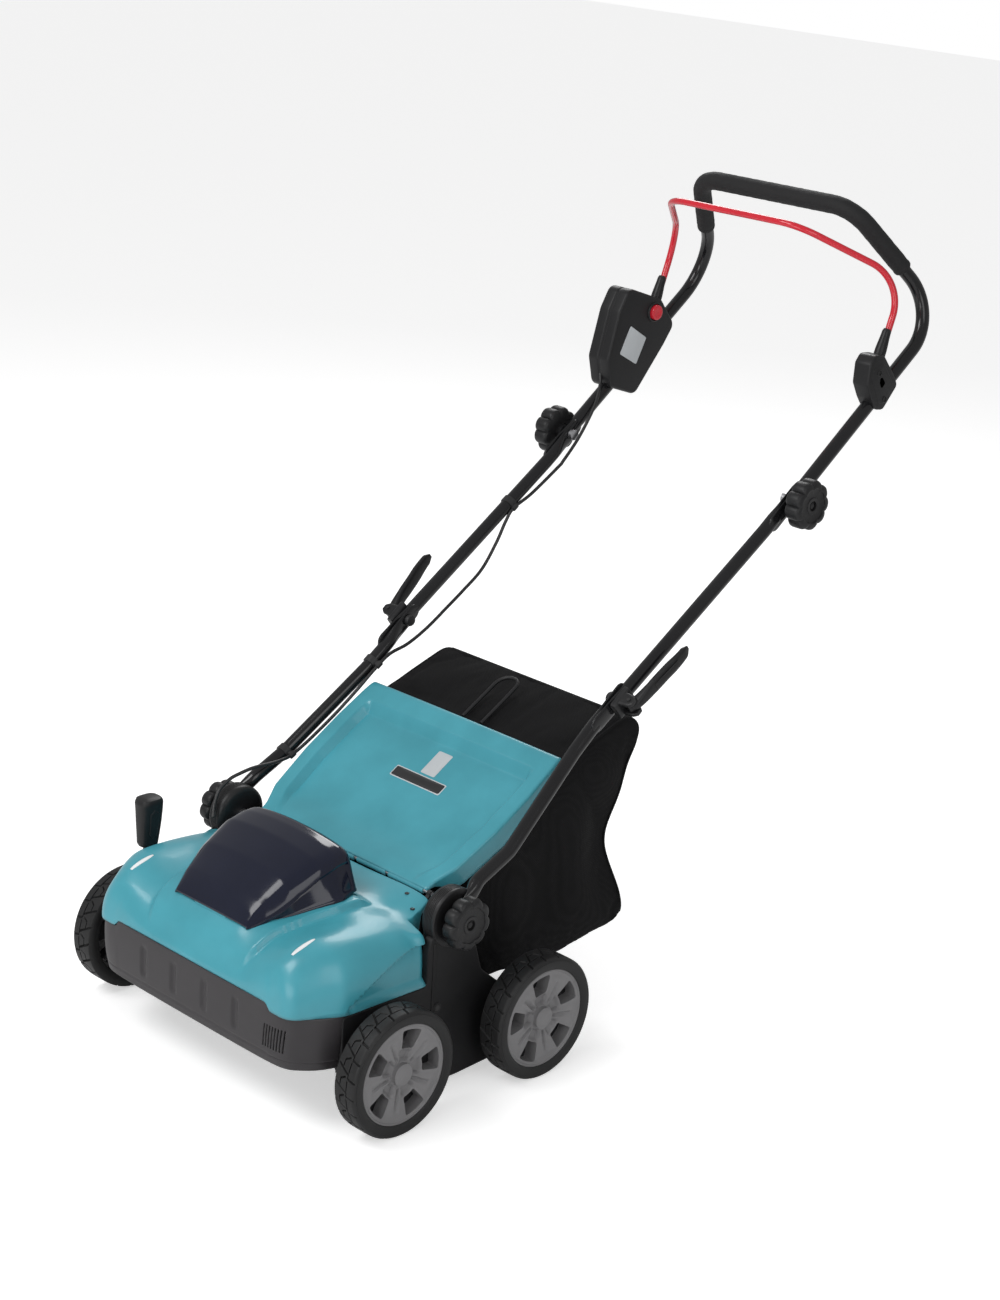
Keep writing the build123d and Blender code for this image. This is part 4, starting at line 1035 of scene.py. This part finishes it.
box_outline = [(735, 914), (809, 890), (843, 848), (822, 818), (764, 747), (708, 765), (697, 808), (716, 880)]
switch = Shape()
switch.pillow(box_outline, 200.4, 220.8, 4.0, 14, dome=-0.1)
switch.pillow(box_outline, 221.6, 243, 4.0, 14, dome=-0.1)
switch.pillow([(p[0] * 0.985 + 11.5, p[1] * 0.985 + 12.5) for p in box_outline], 218, 224, 0.6, 14)
for y, z in ((736, 898), (818, 852), (722, 800), (780, 778)):
    switch.turned([(241, 3.6), (243.3, 3.6), (243.5, 3.2), (242.4, 2.6), (242.4, 0.2)], y, z, 20)
switch.piece("switch_box_shell", BLACK, "handle_upper", "black_plastic", replaces=["switch_box"], flip_x=True)
collar = Shape()
button_low, button_high = box("lock_button")
button_y, button_z = (button_low[1] + button_high[1]) / 2, (button_low[2] + button_high[2]) / 2
collar_profile = [(-204, 15.5), (-200, 15.5), (-198.2, 14.8), (-197.6, 13.4), (-199.6, 12.4), (-204, 12.4)]
collar.turned(collar_profile, button_y, button_z, 48)
collar.piece("button_collar", BLACK, "handle_upper", "black_plastic")
button = Shape()
button_profile = [(-199, 11.6), (-195, 11.6), (-193.6, 11.0), (-192.8, 9.4), (-193.3, 6.5), (-193.7, 0.3)]
button.turned(button_profile, button_y, button_z, 48)
button.piece("lock_button_cap", RED, "lock_button", "red_button", replaces=["lock_button"])
plate_label = Shape()
plate_label.pillow([(742, 856), (779, 834), (760, 795), (722, 815)], -200.8, -199.9, 0.3, 2)
plate_label.piece("switch_label_blank", LABEL, "handle_upper", "black_plastic")


# Cam clamps

cam_tilt = math.radians(39.0)
cam_u = np.array([0, math.cos(cam_tilt), math.sin(cam_tilt)])
cam_n = np.array([0, -math.sin(cam_tilt), math.cos(cam_tilt)])


def at_cam(x, along, up=0.0):
    return np.array([x, cam_pivot[1], cam_pivot[2]]) + along * cam_u + up * cam_n


for side, hand in HANDS:
    lever = Shape()
    paddle = ((236, -6), (239, 4), (242.5, 16), (245.5, 34), (248.5, 60), (252.5, 86), (253.5, 102), (252.5, 111))
    paddle = curve_through([at_cam(x, along) for x, along in paddle], 48)
    thick = taper(48, [0, 0.1, 0.2, 0.35, 0.7, 0.92, 1.0], [4, 8.5, 7.0, 5.0, 4.2, 3.6, 1.2])
    wide = taper(48, [0, 0.1, 0.22, 0.4, 0.7, 0.93, 1.0], [6, 6.8, 8.5, 10.5, 11, 9, 3.5])
    lever.sweep(paddle, thick, wide, sides=28, power=3.2)
    rib = curve_through([at_cam(251.5, 40), at_cam(254.5, 62), at_cam(257.6, 86)], 14)
    lever.sweep(rib, taper(14, [0, 0.2, 0.8, 1], [0.4, 1.4, 1.4, 0.4]), 5.0, sides=14, power=3)
    node = f"cam_lever_{hand}"
    lever.piece(f"{node}_paddle", BLACK, node, "black_plastic", replaces=[node], flip_x=side < 0)
    block = Shape()
    saddle = spaced([at_cam(221, -17), at_cam(221, 17)], 12)
    block.sweep(saddle, taper(12, [0, 0.08, 0.92, 1], [5, 6.4, 6.4, 5]), 14.0, sides=28, power=4)
    for up in (-10.4, 10.4):
        ear = spaced([at_cam(222, 0, up), at_cam(246, 0, up)], 10)
        block.sweep(ear, 3.0, taper(10, [0, 0.8, 1], [11, 9, 5]), sides=20, power=4, start=cam_n)
    pin = spaced([at_cam(238, 0, -15), at_cam(238, 0, 15)], 6)
    block.sweep(pin, 2.6, sides=18)
    bolt_head = [(195, 3), (195.6, 7.4), (197, 8.4), (201.6, 8.4), (201.6, 4), (216, 4)]
    block.turned(bolt_head, cam_pivot[1], cam_pivot[2], 32)
    block.piece(f"cam_clamp_{hand}", BLACK, "handle_lower", "black_plastic", flip_x=side < 0,
                replaces=["cam_blocks"] if side > 0 else [])


# Depth lever and its grip

grip_shape = Shape()
grip_path = curve_through([(-249, -119, 211), (-249.5, -117.5, 222), (-250, -116, 245), (-250, -115.5, 268),
                           (-250, -116, 281), (-250, -116, 284)], 36)
grip_shares = [0, 0.06, 0.5, 0.9, 0.97, 1]
grip_shape.sweep(grip_path, taper(36, grip_shares, [8, 11, 13.5, 15.5, 14, 9]),
                 taper(36, grip_shares, [11, 14, 17, 18.5, 16.5, 11]), sides=36, power=3.2)
for side in (-1, 1):
    x = -250 + 12.6 * side
    rib = curve_through([(x, -118, 226), (x + 1.2 * side, -116.5, 246), (x + 1.6 * side, -116, 268)], 14)
    grip_shape.sweep(rib, 1.0, taper(14, [0, 0.15, 0.85, 1], [1, 6.5, 7.5, 1]), sides=14, power=3)
grip_shape.piece("depth_lever_paddle", BLACK, "depth_adjuster", "black_plastic", replaces=["depth_lever_grip"])
arm = Shape()
arm_path = curve_through([(-240, -158, 86), (-240, -151, 112), (-241, -140, 140), (-244, -127, 176),
                          (-247, -119, 206), (-248, -118, 216)], 50)
arm.sweep(arm_path, 3.0, taper(50, [0, 0.1, 0.4, 1], [11, 10, 8, 7.5]), sides=20, power=4)
arm.turned([(-243.2, 4), (-243.2, 10.5), (-242, 11.4), (-237, 11.4)], -158, 86, 36)
arm.piece("depth_lever_arm", TUBE, "depth_adjuster", "tube_black", replaces=["depth_lever"])


# Cable: three lengths, and the clips that hold it

cable_points = [(-222, 706, 783), (-214, 698, 767), (-203, 677, 740), (-199, 643, 697), (-198, 610, 664),
                (-198, 604, 659), (-200.5, 551, 624), (-202, 515, 606), (-202, 500, 588), (-202, 483, 558),
                (-202, 455, 521), (-202, 416, 493), (-200, 377, 470), (-199, 371, 467), (-196, 339, 451),
                (-192, 302, 438), (-191, 267, 430), (-192, 240, 412), (-195, 209, 385), (-202, 168, 349),
                (-210, 114, 310), (-209, 82, 303), (-212, 39, 302), (-216, 16, 297), (-219, 0, 291),
                (-219, -18, 279), (-214, -30, 262), (-206, -38, 248)]
cable_run = curve_through(cable_points, 420)


def nearest_y(path, y):
    """The number of the path's point whose y is nearest."""
    return int(np.argmin(np.abs(path[:, 1] - y)))


cuts = [0, nearest_y(cable_run, 483), nearest_y(cable_run, 168), len(cable_run) - 1]
# Each length has a name, a first and a second body, two points and the CAD pieces it stands for.
cable_joins = [
    ("top", "handle_upper", "handle_middle", (-200, 668, 728), (-200, 606, 660), ["cable_upper"]),
    ("cam", "handle_middle", "handle_lower", (-200, 352, 498), (-200, 270, 442), ["cable_middle"]),
    ("base", "handle_lower", "chassis", (-210, 60, 310), (-214, -22, 272), ["cable_lower", "cable_deck"]),
]
for (name, first_body, second_body, start, end, stands_for), low, high in zip(cable_joins, cuts, cuts[1:]):
    length = Shape()
    length.sweep(cable_run[low:high + 1], 2.5, sides=12)
    piece = length.piece(f"cable_{name}_length", CABLE, None, "cable", replaces=stands_for)
    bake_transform(piece)

# Each clip is a band round a tube with a smaller loop for the cable.
for name, body, path, y in (("low", "handle_lower", lower_path, 105), ("cam", "handle_lower", lower_path, 248),
                            ("middle", "handle_middle", middle_path, 515)):
    path = path * [-1, 1, 1]
    k = nearest_y(path, y)
    centre, along = path[k], path[k + 1] - path[k - 1]
    along /= np.linalg.norm(along)
    near = cable_run[int(np.argmin(np.linalg.norm(cable_run - centre, axis=1)))]
    shape = Shape()
    shape.sweep([centre + along * a for a in (-5.5, -5, 5, 5.5)], [10.4, 11.4, 11.4, 10.4], sides=28)
    shape.sweep([near + along * a for a in (-5, -4.5, 4.5, 5)], [3.6, 4.4, 4.4, 3.6], sides=16)
    shape.sweep([centre, near], [4.0, 3.4], [4.5, 4.5], sides=12, power=4, start=tuple(along))
    shape.piece(f"cable_clip_{name}", BLACK, body, "black_plastic")


# Reel tines: sprung wires with a coil at the drum

tine_low, tine_high = box("reel_tines")
reel_y, reel_z = (tine_low[1] + tine_high[1]) / 2, (tine_low[2] + tine_high[2]) / 2
tines = Shape()
tine_rows = 18
for row in range(tine_rows):
    x = np.interp(row, [0, tine_rows - 1], [-168.5, 168.5])
    for half_turn in (0, math.pi):
        a = math.radians(row * 50) + half_turn
        radial = np.array([0, math.cos(a), math.sin(a)])
        swing = np.array([0, -math.sin(a), math.cos(a)])
        # (along the reel, out from its axis, round it): a coil of 2.25 turns, then the straight tine
        wire_points = [(-4 + 0.55 * t, 31 + 5.5 * math.sin(t), 5.5 * math.cos(t) - 5.5)
                       for t in np.linspace(0, 2.25 * 2 * math.pi, 30)]
        wire_points += [(4.0, 52, -5.0), (4.0, 66, -1.5), (4.0, 69.6, 1.5)]
        points = [np.array([x + dx, reel_y, reel_z]) + radial * out + swing * round_by
                  for dx, out, round_by in wire_points]
        tines.sweep(curve_through(points, 70), 1.5, sides=8)
tines.piece("reel_tine_springs", TINE, "reel", "tine_steel", replaces=["reel_tines"])


# Grass bag: a fabric shell puffed out by a cloth simulation

bag_half = 181.0
bag_edge = 9
# The bag seen from the side, from the top of its mouth down, back and up again
bag_side = [(76, 282), (84, 113), (118, 103), (273, 99), (398, 118), (356, 248), (402, 408), (371, 428),
            (252, 388), (234, 379)]


def bag_mesh():
    ring = rounded(bag_side, [5, 8, 14, 40, 16, 60, 10, 12, 40, 8], 8)
    ring = spaced(np.vstack([ring, ring[:1]]), 170)[:-1]
    centre = np.array([235.0, 250.0])
    away = ring - centre
    away = away / np.linalg.norm(away, axis=1)[:, None]
    shape = Shape()
    columns = []
    edge_steps = bag_edge * (1 - np.cos(np.linspace(0, math.pi / 2, 5)))
    for x in np.concatenate([edge_steps - bag_half, np.linspace(17 - bag_half, bag_half - 17, 40),
                             bag_half - edge_steps[::-1]]):
        over = max(0.0, (abs(x) - (bag_half - bag_edge)) / bag_edge)
        inset = bag_edge * (1 - math.sqrt(max(0.0, 1 - over ** 2)))
        columns.append(np.column_stack([np.full(len(ring), x), ring - away * inset]))
    shape.grid(np.array(columns), wrap_cols=True)
    for k, sign in ((0, 1), (-1, -1)):
        outline = columns[k]
        middle = np.array([outline[0, 0], *centre])
        rows = [middle + (outline - middle) * share for share in np.linspace(1, 0.06, 26)]
        shape.grid(np.array(rows), wrap_cols=True, flip=sign > 0)
        first = shape.count - len(ring)
        shape.cap(first, len(ring), sign > 0)
    return shape


bag = bag_mesh().piece("bag_fabric_shell", FABRIC, None, "bag_fabric", sharp=180, replaces=["grass_bag"])
weld = bag.modifiers.new("weld", "WELD")
weld.merge_threshold = 0.0005
apply_modifiers(bag)
remesh = bag.modifiers.new("remesh", "REMESH")
remesh.mode = "VOXEL"
remesh.voxel_size = 0.006
apply_modifiers(bag)
rest = np.array([v.co for v in bag.data.vertices], float)
# The mouth, the seam lines and the top front edge are held; the panels between are free.
y, z, x = rest[:, 1] / MM, rest[:, 2] / MM, np.abs(rest[:, 0]) / MM
held = np.zeros(len(rest))
held[(y < 96)] = 1
held[(x > bag_half - 7) & ((z > 396) | (z < 108) | (y > 392))] = 1
held[(y < 262) & (z > 370)] = 1
held[(y < 262) & (z > 270 + 0.614 * (y - 76))] = 1
held[(y > 388) & (z < 124)] = 1
held[(y > 366) & (z > 418)] = 1
group = bag.vertex_groups.new(name="held")
for index in np.nonzero(held)[0]:
    group.add([int(index)], 1.0, "REPLACE")
cloth = bag.modifiers.new("cloth", "CLOTH")
fabric = {"quality": 6, "mass": 0.25, "use_pressure": True, "uniform_pressure_force": 4.0,
          "tension_stiffness": 12, "compression_stiffness": 12, "shear_stiffness": 8,
          "bending_stiffness": 0.35, "vertex_group_mass": "held", "shrink_min": -0.012}
for setting, value in fabric.items():
    setattr(cloth.settings, setting, value)
cloth.settings.effector_weights.gravity = 0
cloth.collision_settings.use_self_collision = False
cloth.point_cache.frame_start, cloth.point_cache.frame_end = 1, 20
for current in range(1, 21):
    scene.frame_set(current)
graph = bpy.context.evaluated_depsgraph_get()
moved = np.array([v.co for v in bag.evaluated_get(graph).data.vertices], float)
shift = moved - rest
size = np.linalg.norm(shift, axis=1)
most = 0.012
shift *= np.where(size > 1e-9, most * np.tanh(size / most) / np.maximum(size, 1e-9), 0)[:, None]
bag.modifiers.remove(cloth)
# Soft folds run down from the top corners and across the sides
y, z = rest[:, 1], rest[:, 2]
side_share = smooth(bag_half * MM - 0.012, bag_half * MM - 0.003, np.abs(rest[:, 0]))
fold = 0.0024 * np.sin((y * 0.8 + z * 0.55) * 62 + 2.2 * np.sin(z * 16)) * smooth(0.11, 0.2, z)
shift[:, 0] += np.sign(rest[:, 0]) * side_share * fold * (1 - held)
top_share = smooth(0.36, 0.385, z)
shift[:, 2] += 0.0016 * top_share * np.sin(rest[:, 0] * 48 + 1.5 * np.sin(y * 30)) * (1 - held)
bag.data.vertices.foreach_set("co", (rest + shift).astype(np.float32).ravel())
bag.data.update()
scene.frame_set(1)
for polygon in bag.data.polygons:
    polygon.use_smooth = True
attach(bag, "grass_bag")


# A bound edge is sewn along each side of the bag, laid on the fabric.
bag_surface = BVHTree.FromPolygons([v.co for v in bag.data.vertices],
                                   [tuple(p.vertices) for p in bag.data.polygons])
seam_line = [(240, 380), (300, 402), (368, 425), (399, 408), (378, 330), (359, 250), (376, 190), (396, 122)]
for side, hand in HANDS:
    points = curve_through([(side * (bag_half - 1.5), y, z) for y, z in seam_line], 120)
    laid = np.array([bag_surface.find_nearest(Vector(point * MM))[0] for point in points]) / MM
    for _ in range(6):
        laid[1:-1] = (laid[:-2] + 2 * laid[1:-1] + laid[2:]) / 4
    shape = Shape()
    shape.sweep(spaced(laid, 90), 2.2, 1.8, sides=12, power=3)
    shape.piece(f"bag_seam_{hand}", FABRIC, "grass_bag", "bag_fabric")

wire = Shape()
loop = bent([(-18, 250, 391.5), (-18, 290, 415), (-17.5, 326, 437), (17.5, 326, 437), (18, 290, 415),
             (18, 250, 391.5)], [30, 20, 14, 14], 2.0)
wire.sweep(loop, 2.6, sides=16)
wire.piece("bag_handle_wire", BLACK, "grass_bag", "black_plastic", replaces=["bag_handle_loop"])


# The CAD pieces that are shown as they are get soft edges and their own finish

shown = (
    (STEEL, ("base_bolts", "flap_hinge_rod", "motor_housing", "reel_bearings", "rear_axle", "reel_shaft",
             "motor_rotor", "front_axle", "bag_frame", "upper_bolts")),
    (BLACK, ("battery_tray", "belt_cover", "reel_drum", "driven_pulley", "drive_pulley", "bail_switch")),
    (DECK, ("deck_housing",)), (PACK, ("battery_packs",)), (BOARD, ("control_board",)), (BELT, ("drive_belt",)),
)
for material, names in shown:
    for name in names:
        node = frame["nodes"][name]
        node.data.materials.clear()
        node.data.materials.append(material)
        soften(node, 0.8)


# Floor, light and camera

def by_camera_ray(tree, socket, others, seen):
    """Gives a socket one value for the rays the camera sees and another for all others."""
    rays = tree.nodes.new("ShaderNodeLightPath")
    tree.links.new(ranged(tree.nodes, tree.links, rays.outputs["Is Camera Ray"], others, seen, 0, 1), socket)


stage_material, _, _, stage_surface = new_material("stage_floor")
stage_surface.inputs["Base Color"].default_value = (0.92, 0.92, 0.92, 1)
stage_surface.inputs["Roughness"].default_value = 0.6
stage_surface.inputs["Emission Color"].default_value = (1, 1, 1, 1)
by_camera_ray(stage_material.node_tree, stage_surface.inputs["Emission Strength"], 0.0, 0.5)
floor_mesh = bpy.data.meshes.new("stage_floor")
floor_mesh.from_pydata([(-12, -12, 0), (12, -12, 0), (12, 12, 0), (-12, 12, 0)], [], [(0, 1, 2, 3)])
floor_mesh.materials.append(stage_material)
floor = bpy.data.objects.new("stage_floor", floor_mesh)
scene.collection.objects.link(floor)

world = bpy.data.worlds.new("studio")
scene.world = world
world.use_nodes = True
background = world.node_tree.nodes["Background"]
background.inputs["Color"].default_value = (1, 1, 1, 1)
by_camera_ray(world.node_tree, background.inputs["Strength"], 0.42, 1.0)


def softbox(name, place, target, size, power):
    lamp = bpy.data.lights.new(name, "AREA")
    lamp.shape = "RECTANGLE"
    lamp.size, lamp.size_y = size
    lamp.energy = power
    obj = bpy.data.objects.new(name, lamp)
    obj.location = place
    obj.rotation_euler = (Vector(target) - Vector(place)).to_track_quat("-Z", "Y").to_euler()
    scene.collection.objects.link(obj)


softbox("key", (-0.6, -1.8, 2.6), (0, 0.1, 0.3), (1.6, 1.2), 38)
softbox("fill", (2.6, -0.6, 1.6), (0, 0.2, 0.4), (1.4, 1.6), 14)
softbox("front", (0.7, -2.7, 0.9), (0, 0.1, 0.3), (1.8, 0.9), 15)
softbox("rear_rim", (-1.6, 2.2, 2.4), (0, 0.3, 0.4), (1.2, 1.2), 26)
scene.view_settings.view_transform = "Standard"

azimuth, elevation, roll = (math.radians(v) for v in (44.239, 18.824, -3.512))
level = math.cos(elevation)
back = Vector((math.sin(azimuth) * level, -math.cos(azimuth) * level, math.sin(elevation)))
right = Vector((math.cos(azimuth), math.sin(azimuth), 0))
up = back.cross(right)
rolled_right = right * math.cos(roll) - up * math.sin(roll)
rolled_up = right * math.sin(roll) + up * math.cos(roll)
camera_data = bpy.data.cameras.new("camera")
# The focal length is 2.0267 times the picture's height.
camera_data.lens = 2634.73 / 1300 * 36
camera_data.sensor_width = 36
camera_data.clip_end = 100
camera = bpy.data.objects.new("camera", camera_data)
rotation = Matrix((rolled_right, rolled_up, back)).transposed()
camera.matrix_world = Matrix.Translation(Vector((2414.9, -2182.7, 1664.4)) * MM) @ rotation.to_4x4()
scene.collection.objects.link(camera)
scene.camera = camera
